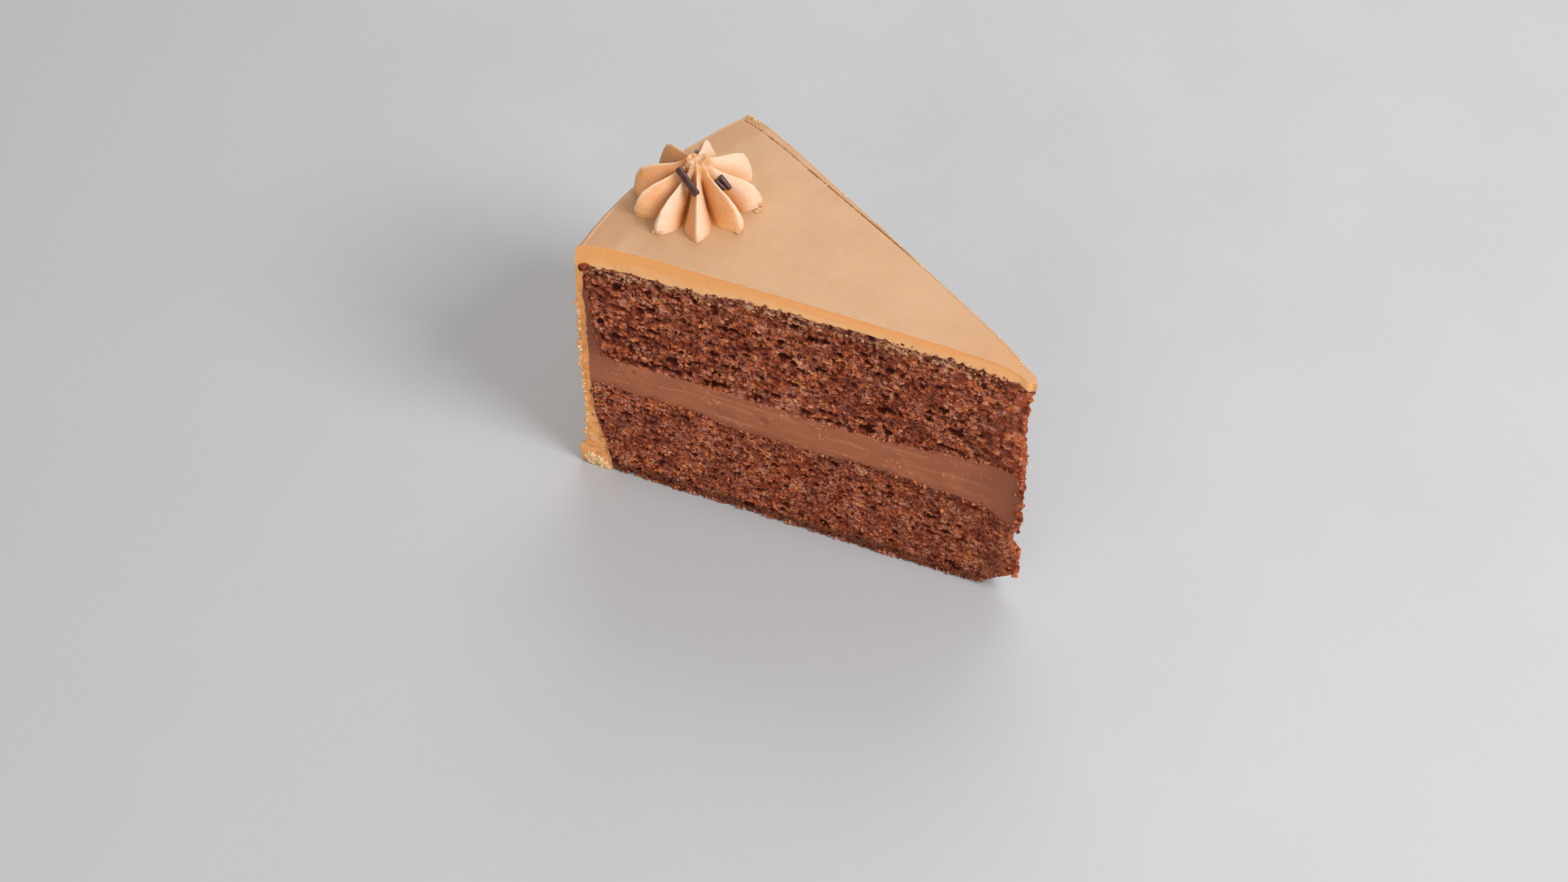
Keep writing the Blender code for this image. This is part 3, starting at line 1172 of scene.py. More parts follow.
@dataclass
class Sponge:
    """One sponge layer.

    Attributes:
        name: the piece's name, and the node that it dresses.
        wedge: the slice.
        layers: the lines between the layers.
        crumb: its cut surface.
        cell: width of the quads that it starts from, in mm.
        length: how far it reaches from the thin end to the outer side, in mm.
        thin: greatest depth of its relief against half of the slice's width.
    """

    name: str
    wedge: Wedge
    layers: Layers
    crumb: Crumb
    cell: float = 0.22
    length: float = 118.0
    thin: float = 0.32

    def rows(self) -> tuple[Array, Array]:
        """The lower and upper rows of its section; each kind of sponge gives its own."""
        raise NotImplementedError

    def outer(self, height: Array) -> Array:
        """Radius of its outer side at a height."""
        raise NotImplementedError

    def marks(self, radius: Array, height: Array, drop: Array) -> dict[str, Array]:
        """Smears and crust on it, each from 0 to 1; each kind of sponge gives its own."""
        raise NotImplementedError

    def hollows(self, radius: Array, height: Array, seed: int) -> Array:
        """How much deeper the cut lies along its borders."""
        raise NotImplementedError

    @staticmethod
    def stations(first: float, last: float, count: int = 800) -> Array:
        """Radii evenly spaced along a row of the section."""
        return np.linspace(first, last, count)

    def build(self, made: bpy.types.Material) -> bpy.types.Object:
        """Moulds the sponge and shows it.

        Args:
            made: its material.

        Returns:
            The piece.
        """
        low, high = self.rows()
        tall = float(np.mean(high[:, 1] - low[:, 1]))
        cell = self.cell * 1
        columns, rows = round(self.length / cell), round(tall / cell)
        blank = Blank.spun(self.name, columns, rows, BLANK_STEPS)
        radius, height = ruled(low, high, blank.along, blank.up)
        tip_shift = self.layers.tip.at(height) + self.tip_rag(height) - low[0, 0]
        radius += np.exp(-blank.along * self.length / 2.5) * tip_shift
        ends = np.interp(blank.up, (0, 1), (low[-1, 0], high[-1, 0]))
        radius += blank.along**24 * (self.outer(height) - ends)
        points = self.wedge.place(radius, self.wedge.angle(blank.across), height)
        drops, tones = np.zeros(len(points)), np.full(len(points), 0.4)
        for cut in Cut:
            here = blank.on_cut(cut)
            drop, tone = self.crumb.shape(radius[here], height[here], cut)
            drop += self.hollows(radius[here], height[here], self.crumb.seed + 99 + cut.value)
            drops[here] = self.wedge.press(points, here, cut, drop, radius[here], self.thin)
            tones[here] = tone
        write_points(blank.mesh, points)
        # Painted light: the thin end is marked to glow, as if lit from behind.
        edge = np.exp(-np.maximum(radius - 1.6, 0) / 1.3)
        marks = self.marks(radius, height, drops)
        paint(blank.mesh, drop=drops, tone=tones, edge=edge, **marks)
        mesh = thinned(blank.mesh)
        return add_piece(f"{self.name}_crumb", mesh, made, Slot.SPONGE, self.name)

    def tip_rag(self, height: Array) -> Array:
        """Ragged unevenness of the thin end.

        Args:
            height: heights along it, in mm.

        Returns:
            How far it draws back there, in mm.
        """
        across = np.zeros(height.shape)
        broad = fractal(height / 2.4, across, self.crumb.seed + 61)
        fine = fractal(height / 0.8, across, self.crumb.seed + 64)
        return np.maximum(0.35 + 0.6 * broad + 0.6 * fine, 0)


@dataclass
class LowerSponge(Sponge):
    """The lower sponge: a finer crumb, with a dark baked foot and painted shade towards its thin
    end.
    """

    def rows(self) -> tuple[Array, Array]:
        """Outlines its section.

        Returns:
            The broken underside, and the line where it meets the cream.
        """
        foot = self.stations(1.0, 113.2)
        rough = 0.35 * (1 + fractal(foot / 1.6, foot * 0, self.crumb.seed + 71))
        low = np.stack([foot, self.layers.underside.at(foot) + rough * ease(2, 12, foot)], 1)
        lip = self.stations(1.2, 118.5)
        high = np.stack([lip, self.layers.cream_bottom.at(lip) + OVERLAP], 1)
        return low, high

    def outer(self, height: Array) -> Array:
        """It meets the buttercream's wall."""
        return self.layers.wall_inner.at(height) + 0.7

    def marks(self, radius: Array, height: Array, drop: Array) -> dict[str, Array]:
        """Dark baked foot, cream dragged over its upper edge, and painted shade towards the thin
        end.

        Args:
            radius: the vertices' radii, in mm.
            height: their heights, in mm.
            drop: how deep each lies, in mm; not used here.

        Returns:
            Each mark's name and its strength at each vertex, from 0 to 1.
        """
        uneven = fractal(radius / 3, height / 3, self.crumb.seed + 85)
        crust_and_shade = 1 - ease(2.2, 4.6, height - 0.8 * uneven)
        below = self.layers.cream_bottom.at(radius) - height + 1.2 * uneven
        smeared = 0.6 * (1 - ease(0.5, 3.2, below)) * (1 - ease(50, 66, radius))
        # Painted shade: the sponge darkens towards its thin end, in the same layer as its dark
        # foot.
        shaded = 0.3 * (1 - ease(5, 60, radius + 8 * uneven))
        crust_and_shade = np.maximum(np.maximum(crust_and_shade, smeared), shaded)
        return {"smear": np.zeros(radius.shape), "crust_and_shade": crust_and_shade}

    def hollows(self, radius: Array, height: Array, seed: int) -> Array:
        """It draws back where the cream covers it."""
        return 0.6 * ease(0.2, 0.9, height - self.layers.cream_bottom.at(radius))


@dataclass
class UpperSponge(Sponge):
    """The upper sponge: coarser, with buttercream dragged into its upper edge."""

    def rows(self) -> tuple[Array, Array]:
        """Outlines its section.

        Returns:
            The line where it meets the cream, and the one under the buttercream.
        """
        foot = self.stations(1.6, 115.3)
        low = np.stack([foot, self.layers.cream_top.at(foot) - OVERLAP], 1)
        lip = self.stations(1.0, 118.2)
        rise = np.minimum(1.5, 0.45 * (self.layers.top.at(lip) - self.layers.crown.at(lip)))
        high = np.stack([lip, self.layers.crown.at(lip) + rise], 1)
        return low, high

    def outer(self, height: Array) -> Array:
        """It meets the strip of cream, and the wall above it."""
        return self.layers.sponge_side.at(height) + 0.5 * ease(60, 64, height)

    def marks(self, radius: Array, height: Array, drop: Array) -> dict[str, Array]:
        """Specks of buttercream that the knife dragged down over the raised crumbs.

        Args:
            radius: the vertices' radii, in mm.
            height: their heights, in mm.
            drop: how deep each lies, in mm.

        Returns:
            Each mark's name and its strength at each vertex, from 0 to 1.
        """
        _, _, pick = cells(radius / 1.0, height / 0.8, self.crumb.seed + 87)
        below = self.layers.crown.at(radius) - height
        chance = 0.62 * (1 - ease(0.8, 6.0, below)) * ease(4, 25, radius)
        smear = (pick < chance) * (1 - ease(0.5, 1.0, drop)) * 0.8
        return {"smear": smear, "crust_and_shade": 0.3 * (1 - ease(1, 7, below))}

    def hollows(self, radius: Array, height: Array, seed: int) -> Array:
        """Cavities in a broken row just above the cream; it draws back where it is covered.

        Args:
            radius: radii on the cut face, in mm.
            height: heights on the cut face, in mm.
            seed: picks the pattern.

        Returns:
            How much deeper each place lies, in mm.
        """
        above = height - self.layers.cream_top.at(radius)
        band = ease(0.1, 0.9, above) * (1 - ease(1.6, 3.4, above))
        covered = ease(-0.2, 0.6, height - self.layers.crown.at(radius)) + ease(0, 0.6, -above)
        row = 1.3 * band * ease(0.0, 0.5, fractal(radius / 4.5, height / 2.5, seed))
        return row + 0.6 * covered


# The chocolate cream


@dataclass
class Filling:
    """The chocolate cream between the sponges, with its thin strip up the outer side.

    Attributes:
        wedge: the slice.
        layers: the lines between the layers.
        tip: radius of its thin end, in mm.
        slab_end: radius where its upper side meets the strip, in mm.
        foot_end: radius where its underside ends, in mm.
        strip_top: height of the strip's end, in mm.
        strip_inner: least radius of the strip's inner face, in mm.
        bed: how far it lies under the cut planes, in mm.
        thin: greatest depth of its relief against half of the slice's width.
        seed: picks its pattern.
        pits: radius, height and size of each small pit on its cut faces, in mm.
        scuffs: the same for its rough patches.
    """

    wedge: Wedge
    layers: Layers
    tip: float = 1.9
    slab_end: float = 114.9
    foot_end: float = 118.9
    strip_top: float = 61.0
    strip_inner: float = 115.0
    bed: float = 0.34
    thin: float = 0.3
    seed: int = 300
    pits: tuple[tuple[float, float, float], ...] = ((106, 37.6, 0.7), (70.4, 34.2, 0.9))
    scuffs: tuple[tuple[float, float, float], ...] = (
        (84, 35.8, 4.5), (34.5, 32.6, 5.5), (106, 36, 3.2)
    )

    def relief(self, radius: Array, height: Array, cut: Cut) -> tuple[Array, Array, Array]:
        """Knife streaks, rough flecks and small pits.

        Args:
            radius: radii on the cut face, in mm.
            height: heights on the cut face, in mm.
            cut: which cut face.

        Returns:
            How far each place lies under the cut plane, and how streaked and flecked it is.
        """
        seed = self.seed + 40 * (cut is Cut.FAR)
        bent = height + 0.9 * fractal(radius / 11, height / 6, seed + 1)
        streak = fractal(radius / 16, bent / 0.55, seed + 3)
        drag = fractal(radius / 5, bent / 1.3, seed + 9, 2)
        rough = ease(0.15, 0.5, fractal(radius / 7, height / 3.2, seed + 13))
        grit = fractal(radius / 0.8, height / 0.6, seed + 17)
        for place, up, size in self.scuffs:
            away = np.hypot(radius - place, (height - up) * 2.2 - 0.4 * (radius - place)) / size
            rough = np.maximum(rough, 1 - ease(0.5, 1, away))
        fleck = rough * ease(0.2, 0.55, grit)
        thread = 1 - ease(0.02, 0.09, np.abs(fractal(radius / 13, bent / 2.6, seed + 21, 2)))
        thread *= ease(0.0, 0.3, fractal(radius / 2.2, height / 2, seed + 25))
        drop = self.bed + 0.06 * streak + 0.1 * drag - 0.32 * fleck - 0.1 * thread
        for place, up, size in self.pits:
            away = np.hypot((radius - place) / 1.4, height - up) / size
            drop += 0.9 * np.sqrt(np.clip(1 - away**2, 0, 1))
        return drop, ease(0.1, 0.8, streak), np.clip(0.8 * fleck + 0.25 * thread, 0, 1)

    def build(self, made: bpy.types.Material) -> bpy.types.Object:
        """Moulds the cream and shows it.

        Args:
            made: its material.

        Returns:
            The piece.
        """
        slab = np.linspace(self.tip, self.slab_end, 500)
        foot = np.linspace(self.tip, self.foot_end, 500)
        below = ragged(foot, self.seed + 51, 0.3, 0.7) - 0.15
        above = 0.15 - ragged(slab, self.seed + 55, 0.3, 0.7)
        low = np.stack([foot, self.layers.cream_bottom.at(foot) + below], 1)
        high = np.stack([slab, self.layers.cream_top.at(slab) + above], 1)
        rise = np.linspace(0, 1, 101)[1:]
        outer_z = low[-1, 1] + rise * (self.strip_top - low[-1, 1])
        inner_z = high[-1, 1] + rise * (self.strip_top - high[-1, 1])
        outer = np.stack([self.layers.wall_inner.at(outer_z) + 0.15, outer_z], 1)
        fray = 0.3 - ragged(inner_z, self.seed + 59, 0.3, 0.8)
        inner = np.stack([self.layers.sponge_side.at(inner_z) - fray, inner_z], 1)
        inner[:, 0] = np.maximum(inner[:, 0], self.strip_inner)
        low, high = np.concatenate([low, outer]), np.concatenate([high, inner])
        cell = 1
        blank = Blank.spun("filling", 480 // cell, 34 // cell, BLANK_STEPS)
        radius, height = ruled(low, high, blank.along, blank.up)
        corner = 0.4 * np.abs(2 * blank.up - 1) ** 3
        broken = 0.7 * np.maximum(fractal(height / 1.1, height * 0, self.seed + 63), -0.2)
        radius += np.exp(-blank.along * 118 / 1.5) * (corner + broken)
        points = self.wedge.place(radius, self.wedge.angle(blank.across), height)
        streaks, flecks = np.zeros(len(points)), np.zeros(len(points))
        for cut in Cut:
            here = blank.on_cut(cut)
            drop, streaks[here], flecks[here] = self.relief(radius[here], height[here], cut)
            self.wedge.press(points, here, cut, drop, radius[here], self.thin)
        write_points(blank.mesh, points)
        below = height - self.layers.cream_bottom.at(radius)
        shade = 0.6 * (1 - ease(-0.5, 2.2, below + fractal(radius / 4, height / 2, 7)))
        shade = np.maximum(shade, 0.8 * (1 - ease(2, 24, radius)))
        shade = np.maximum(shade, ease(32, 45, height) * ease(103, 116, radius))
        paint(blank.mesh, streak=streaks, fleck=flecks, shade=shade)
        return add_piece("filling_cream", blank.mesh, made, Slot.CREAM, "filling")


# The buttercream


@dataclass
class Frosting:
    """Buttercream over the top and down the outer side, with the knife score.

    Attributes:
        wedge: the slice.
        layers: the lines between the layers.
        tip_radius: radius of its nose, in mm.
        drip_z: height of the nose's foot, in mm.
        top_end: radius where the top turns down into the wall, in mm.
        skin: share of the way up the section past which a vertex is on the outside.
        score_start: radius and angle where the score leaves the rim.
        score_end: radius and angle where it runs into the far cut.
        score_width: its half-width, in mm.
        score_depth: its depth, in mm.
        score_share: share of the lengthwise lines that lie on its near side.
        bed: how far the cut faces lie under the cut planes, in mm.
        thin: greatest depth of their relief against half of the slice's width.
        nose: radius up to which the thin end is rounded, in mm.
        seed: picks its pattern.
    """

    wedge: Wedge
    layers: Layers
    tip_radius: float = 0.95
    drip_z: float = 71.0
    top_end: float = 118.4
    skin: float = 0.9
    score_start: tuple[float, float] = (121.0, math.radians(-14.7))
    score_end: tuple[float, float] = (42.0, math.radians(-15.85))
    score_width: float = 0.22
    score_depth: float = 0.55
    score_share: float = 0.88
    bed: float = 0.26
    thin: float = 0.2
    nose: float = 2.3
    seed: int = 500

    def score_angle(self, radius: Array) -> Array:
        """Finds the score, a straight line on the top.

        Args:
            radius: radii, in mm.

        Returns:
            Its angle at each of them.
        """
        (r0, a0), (r1, a1) = self.score_start, self.score_end
        start = np.array([r0 * math.cos(a0), r0 * math.sin(a0)])
        end = np.array([r1 * math.cos(a1), r1 * math.sin(a1)])
        share = (radius - r1) / (r0 - r1)
        x = end[0] + share * (start[0] - end[0])
        y = end[1] + share * (start[1] - end[1])
        return np.clip(np.arctan2(y, np.maximum(x, 0.1)), -self.wedge.half_angle, 0)

    def build(self, made: bpy.types.Material) -> bpy.types.Object:
        """Moulds the buttercream and shows it.

        Args:
            made: its material.

        Returns:
            The piece.
        """
        under = np.linspace(2.6, 117.6, 560)
        border = ragged(under, self.seed + 61, 0.9, 1.7) * ease(2, 8, under) - 0.6
        low_top = np.stack([under, self.layers.crown.at(under) + border], 1)
        drip = np.array([[self.tip_radius, self.drip_z + 0.8], [1.5, self.drip_z]])
        over = np.concatenate([[self.tip_radius, 1.4], np.linspace(2.2, 118.6, 560)])
        high_top = np.stack([over, self.layers.top.at(over)], 1)
        down = np.linspace(0, 1, 261)[1:]
        inner_z, outer_z = 68.5 * (1 - down), 75.9 * (1 - down)
        border = 0.5 * ragged(inner_z, self.seed + 65, 0.5, 0.8) - 0.1
        wall_in = np.stack([self.layers.wall_inner.at(inner_z) + border, inner_z], 1)
        wall_out = np.stack([self.layers.wall_outer.at(outer_z), outer_z], 1)
        low = np.concatenate([drip, low_top, wall_in])
        high = np.concatenate([high_top, wall_out])
        cell = 1
        steps = 100 // cell
        blank = Blank.spun("frosting", 480 // cell, 14 // cell, steps)
        gathered = 0.5 - 0.5 * np.cos(math.pi * blank.up)
        radius, height = ruled(low, high, blank.along, gathered)
        angle = self.spread(blank.across, radius)
        crack = self.crack(radius, angle, blank)
        height = height + self.unevenness(radius, angle, blank)
        wall = (blank.up > self.skin) & (radius > self.top_end)
        fringe = self.fringe(radius, angle, height) * wall
        radius = radius + fringe
        points = self.wedge.place(radius, angle, height - crack)
        cut_share, torn_share = np.zeros(len(points)), np.zeros(len(points))
        for cut in Cut:
            here = blank.on_cut(cut)
            r, z = radius[here], height[here]
            drag = fractal(r / 14, z / 0.7, self.seed + 31 + cut.value)
            grain = fractal(r / 1.1, z / 0.8, self.seed + 35 + cut.value)
            torn = (r > 112) * (1 - ease(62, 68, z))
            drop = self.bed + 0.12 * drag + 0.07 * grain + 0.12 * torn * np.abs(grain)
            drop = np.where(blank.up[here] > 0.97, 0.08, drop)
            self.wedge.press(points, here, cut, drop, r, self.thin)
            cut_share[here] = 1
            torn_share[here] = torn
        nose = np.clip((self.nose - radius) / 1.45, 0, 1)
        points[:, 1] *= 1 + 1.1 * np.exp(-(((radius - self.nose) / 1.5) ** 2))
        points[:, 1] *= np.sqrt(1 - 0.92 * nose**2) * (1 - 0.6 * nose * (2 * blank.up - 1) ** 4)
        low_box, high_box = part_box("frosting")
        points = np.clip(points, np.array(low_box) / MM, np.array(high_box) / MM)
        write_points(blank.mesh, points)
        outside = blank.up > self.skin
        # Painted shade along the torn wall's lower border, with a darker band about 47 mm up.
        waist = torn_share * np.exp(-(((height - 47) / 6) ** 2)) * (1 - ease(0.3, 0.8, blank.up))
        border = 0.65 * torn_share * (1 - ease(0.05, 0.26, blank.up))
        border = np.maximum(border, 0.55 * waist)
        side = outside & (radius > 119.3)
        pale = np.maximum(self.creamy(radius, height, cut_share), ease(0.1, 0.9, fringe))
        wavy = radius + 0.8 * fractal(angle * 9, radius / 9, 3)
        rim = np.maximum(0.5 * ease(108.8, 110.8, wavy), 0.9 * (1 - ease(2, 34, radius)))
        # The cut layer paints shade and warm bounced light on the cut faces.
        paint(
            blank.mesh,
            cut=cut_share,
            crack=np.maximum(ease(0.1, 0.5, crack), border),
            torn=np.maximum(torn_share, 0.5 * side * (1 - ease(56, 70, height))),
            pale=pale,
            rim=rim * (outside & (radius < 119)),
        )
        mesh = thinned(blank.mesh)
        return add_piece("frosting_coat", mesh, made, Slot.BUTTERCREAM, "frosting")

    def spread(self, across: Array, radius: Array) -> Array:
        """Angles of the lengthwise lines, gathered at the score and at both cuts.

        Args:
            across: share of the way from the near cut to the far one.
            radius: the vertices' radii.

        Returns:
            Angles, the near cut's first.
        """
        half = self.wedge.half_angle
        score = self.score_angle(radius)
        mark = self.score_share
        share = np.clip(across / mark, 0, 1)
        bend = 0.5 - 0.5 * np.cos(np.pi * share)
        main = half + (score - half) * (0.72 * bend + 0.28 * share)
        rest = score + (-half - score) * np.clip((across - mark) / (1 - mark), 0, 1)
        return np.where(across <= mark, main, rest)

    def crack(self, radius: Array, angle: Array, blank: Blank) -> Array:
        """Cuts the score: a thin ragged slit, broken here and there.

        Args:
            radius: the vertices' radii, in mm.
            angle: their angles.
            blank: the block that they belong to.

        Returns:
            How deep it is at each of them, in mm.
        """
        away = np.abs(angle - self.score_angle(radius)) * radius
        broken = 0.95 + 0.9 * fractal(radius / 1.1, radius * 0, self.seed + 41)
        wide = self.score_width * (1 + 0.6 * fractal(radius / 0.9, radius * 0, self.seed + 45))
        top = (blank.up > self.skin) & (radius < self.top_end)
        inside = ease(44, 52, radius) * (angle > -self.wedge.half_angle * 0.999)
        slit = 1 - ease(0.3 * wide, wide, away)
        depth = self.score_depth * np.maximum(broken, 0) * inside * slit
        return np.where(top, depth, 0)

    def fringe(self, radius: Array, angle: Array, height: Array) -> Array:
        """Roughens the outer side: torn bits beside the cuts, and slow waves.

        Args:
            radius: the vertices' radii, in mm.
            angle: their angles.
            height: their heights, in mm.

        Returns:
            How far each stands out, in mm.
        """
        edge = (self.wedge.half_angle - np.abs(angle)) * radius
        torn = fractal(height / 1.6, np.sign(angle) * 7, self.seed + 71)
        torn = ease(-0.15, 0.35, torn) * (1 - ease(0.2, 1.4, edge))
        torn *= 0.6 + 0.7 * fractal(height / 0.9, edge / 0.8, self.seed + 73)
        torn *= ease(2, 6, height) * (1 - ease(56, 61, height))
        waves = 0.5 * fractal(angle * radius / 9, height / 3.5, self.seed + 75, 4) - 0.45
        return 1.1 * torn + 0.45 * waves * ease(0.5, 3, edge) * ease(0, 6, height)

    def unevenness(self, radius: Array, angle: Array, blank: Blank) -> Array:
        """Gentle waves of the smoothed top, and the fine lip that the knife left.

        Args:
            radius: the vertices' radii, in mm.
            angle: their angles.
            blank: the block that they belong to.

        Returns:
            How far each is raised, in mm.
        """
        x, y = radius * np.cos(angle), radius * np.sin(angle)
        top = (blank.up > self.skin) & (radius < self.top_end)
        waves = 0.22 * fractal(x / 30, y / 22, self.seed)
        waves = waves + 0.05 * fractal(x / 5, y / 3, self.seed + 5)
        edge = (self.wedge.half_angle - np.abs(angle)) * radius
        rough = 0.7 + 0.6 * fractal(x / 1.6, y / 1.6, self.seed + 51)
        lip = 0.16 * (1 - ease(0.1, 0.7, edge)) * rough
        return np.where(top, waves - 0.25 + lip, 0)

    def creamy(self, radius: Array, height: Array, cut_share: Array) -> Array:
        """Where the cut face is paler: its lower border and its top edge.

        Args:
            radius: the vertices' radii, in mm.
            height: their heights, in mm.
            cut_share: 1 on the cut faces, else 0.

        Returns:
            How pale each is, from 0 to 1.
        """
        below = height - self.layers.crown.at(radius)
        low_edge = 1 - ease(0.4, 3.4, below + 0.8 * fractal(radius / 2, height, 9))
        low_edge = low_edge * (1 - ease(115, 118, radius))
        top_edge = ease(-0.45, -0.15, height - self.layers.top.at(radius))
        return cut_share * np.clip(0.26 * low_edge + 0.6 * top_edge * (radius < 119), 0, 1)


# The rosette


@dataclass(frozen=True)
class Lobe:
    """One lobe of the rosette.

    Attributes:
        off: degrees off its even place.
        reach: length against the plain lobe.
        rise: height against the plain lobe.
        point: how pointed its foot is, from 0 to 1.
    """

    off: float
    reach: float
    rise: float
    point: float = 0.0


@dataclass
class Rosette:
    """The piped rosette, lofted from its foot to its torn peak.

    Attributes:
        wedge: the slice.
        layers: the lines between the layers.
        from_tip: how far its middle is from the cake's middle, in mm.
        middle_y: how far it is off the slice's middle line, in mm.
        first_turn: where the first lobe is, counted from +X.
        seed: picks its unevenness.
        lobes: its lobes, in order round it.
        crest: radius and height of the lobes' backs, from foot to peak, in mm.
        groove: the same for the grooves between them.
        power: how full a lobe's section is, at its foot and at the peak.
        narrow: how narrow a lobe's back is, at its foot, and what the peak adds.
        peak: where the torn peak starts and where it is fully torn, as shares of the way up.
    """

    wedge: Wedge
    layers: Layers
    from_tip: float = 102.8
    middle_y: float = -2.2
    first_turn: float = math.radians(31)
    seed: int = 700
    lobes: tuple[Lobe, ...] = (
        Lobe(-4, 0.99, 0.85, 0.3), Lobe(7, 1.0, 0.95), Lobe(8, 0.88, 1.2), Lobe(10, 0.97, 1.12),
        Lobe(14, 0.98, 1.0), Lobe(12, 1.01, 0.95), Lobe(4, 1.07, 0.88, 0.3),
        Lobe(-1, 1.09, 0.9, 0.55), Lobe(-3, 1.08, 0.92, 0.5)
    )
    crest: tuple[tuple[float, float], ...] = (
        (16.3, 0), (16.6, 1.6), (16.1, 3.8), (14.7, 6), (11.8, 7.6), (8.4, 8.5), (5.4, 9.4),
        (3.4, 10.7), (2.5, 11.9), (0.3, 12.2)
    )
    groove: tuple[tuple[float, float], ...] = (
        (12.2, 0), (11.6, 0.4), (10.1, 0.9), (8.1, 1.7), (6.3, 2.9), (4.8, 4.5), (3.7, 6.5),
        (3.1, 9.2), (2.4, 11.5), (0.3, 12.1)
    )
    power: tuple[float, float] = (1.6, 1.15)
    narrow: tuple[float, float] = (0.66, 0.24)
    peak: tuple[float, float] = (0.66, 0.84)

    def middle(self) -> Array:
        """Its middle in plan, in mm."""
        return np.array([self.wedge.tip_x - self.from_tip, self.middle_y])

    def under(self, x: Array, y: Array) -> Array:
        """Height of the buttercream's top below a place."""
        return self.layers.top.at(np.hypot(x - self.wedge.tip_x, y))

    def build(self, made: bpy.types.Material) -> bpy.types.Object:
        """Moulds the rosette and shows it.

        Args:
            made: its material.

        Returns:
            The piece.
        """
        segments = len(self.lobes) * 30
        rings = 84
        bm = bmesh.new()
        bmesh.ops.create_cone(
            bm, cap_ends=True, cap_tris=True, segments=segments, radius1=1, radius2=0.01, depth=1
        )
        upright = [e for e in bm.edges if abs(e.verts[0].co.z - e.verts[1].co.z) > 0.5]
        bmesh.ops.subdivide_edges(bm, edges=upright, cuts=rings, use_grid_fill=True)
        bmesh.ops.recalc_face_normals(bm, faces=bm.faces)
        mesh = finished(bm, "rosette")
        points, hollow, torn = self.mould(read_points(mesh))
        write_points(mesh, points)
        paint(mesh, hollow=hollow, torn=torn)
        return add_piece("rosette_star", mesh, made, Slot.PIPED, "rosette")

    def mould(self, cone: Array) -> tuple[Array, Array, Array]:
        """Turns a plain cone into the rosette.

        Args:
            cone: its vertices, 1 high and centred on the origin.

        Returns:
            The rosette's points, how much painted shade each has in the grooves and on the flanks,
            and how torn each is.
        """
        up = np.clip(cone[:, 2] + 0.5, 0, 1)
        turn = np.arctan2(cone[:, 1], cone[:, 0])
        spacing = 2 * math.pi / len(self.lobes)
        starts = self.first_turn + spacing * np.arange(len(self.lobes))
        starts = starts + np.radians([lobe.off for lobe in self.lobes])
        off = (turn[:, None] - starts[None, :] + math.pi) % (2 * math.pi) - math.pi
        nearest = np.abs(off).argmin(1)
        signed = off[np.arange(len(turn)), nearest]
        gaps = self.half_gaps(starts)
        half = np.where(signed < 0, gaps[nearest, 0], gaps[nearest, 1])
        away = np.clip(np.abs(signed) / half / 0.93, 0, 1)
        sizes = np.array([(lobe.reach, lobe.rise, lobe.point) for lobe in self.lobes])
        reach, rise, point = sizes[nearest].T
        sharp = np.clip(2 * up, 0, 1)
        point = point * (1 - sharp)
        foot_power, peak_power = self.power
        power = foot_power + (peak_power - foot_power) * sharp - 0.55 * point
        share = (1 - away**power) ** (self.narrow[0] + self.narrow[1] * sharp + 0.5 * point)
        share += (0.6 - share) * ease(0.82, 0.92, up)
        crest, groove = np.array(self.crest), np.array(self.groove)
        at = up * (len(crest) - 1)
        stations = np.arange(len(crest))
        out_c, up_c = (np.interp(at, stations, crest[:, k]) for k in (0, 1))
        out_g, up_g = (np.interp(at, stations, groove[:, k]) for k in (0, 1))
        out_c = out_c * (reach + (1 - reach) * up)
        up_c = up_c * (rise + (1 - rise) * up)
        radius = out_g + (out_c - out_g) * share
        height = up_g + (up_c - up_g) * share
        flat = cone[:, 2] < -0.499
        rim = np.hypot(cone[:, 0], cone[:, 1])
        radius = np.where(flat, radius * rim, radius)
        height = np.where(flat, 0, height)
        grain = fractal(turn * 6, up * 14 + nearest * 3.1, self.seed)
        radius = radius + np.where(flat, 0, 0.28 * grain * ease(0, 0.1, up) * (1 - up))
        torn_end = np.where(flat, 0, (1 - ease(0.05, 0.2, up)) * ease(0.1, 0.5, grain))
        torn_peak = ease(*self.peak, up)
        middle = self.middle()
        x = middle[0] + radius * np.cos(turn)
        y = middle[1] + radius * np.sin(turn)
        rough = fractal(x / 1.7, (y + 0.7 * height) / 1.7, self.seed + 9, 2)
        fine = fractal(x / 0.8, (y + height) / 0.8, self.seed + 19, 2)
        height = height + torn_peak * (0.85 * rough + 0.35 * fine - 0.2)
        x, y = x + torn_peak * 0.35 * rough, y + torn_peak * 0.25 * fine
        base = self.under(x, y) - 0.3
        top = self.under(middle[0], middle[1])
        settled = base + (top - base) * np.clip(height / 6, 0, 1)
        # Painted shade on the flanks that face away from the light, and in the grooves.
        flank = -np.sin(starts[nearest] + np.sign(signed) * math.pi / 2)
        flank = flank * (1 - ease(0.45, 0.8, np.cos(starts[nearest] - math.radians(55))))
        hollow = np.clip(1.3 - share * 1.7, 0, 1.3) * (1 - 0.8 * torn_peak)
        hollow = np.maximum(hollow, 0.85 * ease(0.1, 0.6, flank) * ease(0.04, 0.16, away))
        torn = np.clip(torn_peak * ease(-0.5, 0.2, rough) + 0.5 * torn_end, 0, 1)
        return np.stack([x, y, settled + np.maximum(height, 0)], 1), hollow, torn

    @staticmethod
    def half_gaps(starts: Array) -> Array:
        """Halves the gaps between the lobes.

        Args:
            starts: the lobes' angles, in order.

        Returns:
            Half of the angle from each lobe to the one before it and to the one after it.
        """
        before = (starts - np.roll(starts, 1)) % (2 * math.pi)
        after = (np.roll(starts, -1) - starts) % (2 * math.pi)
        return np.stack([before, after], 1) / 2


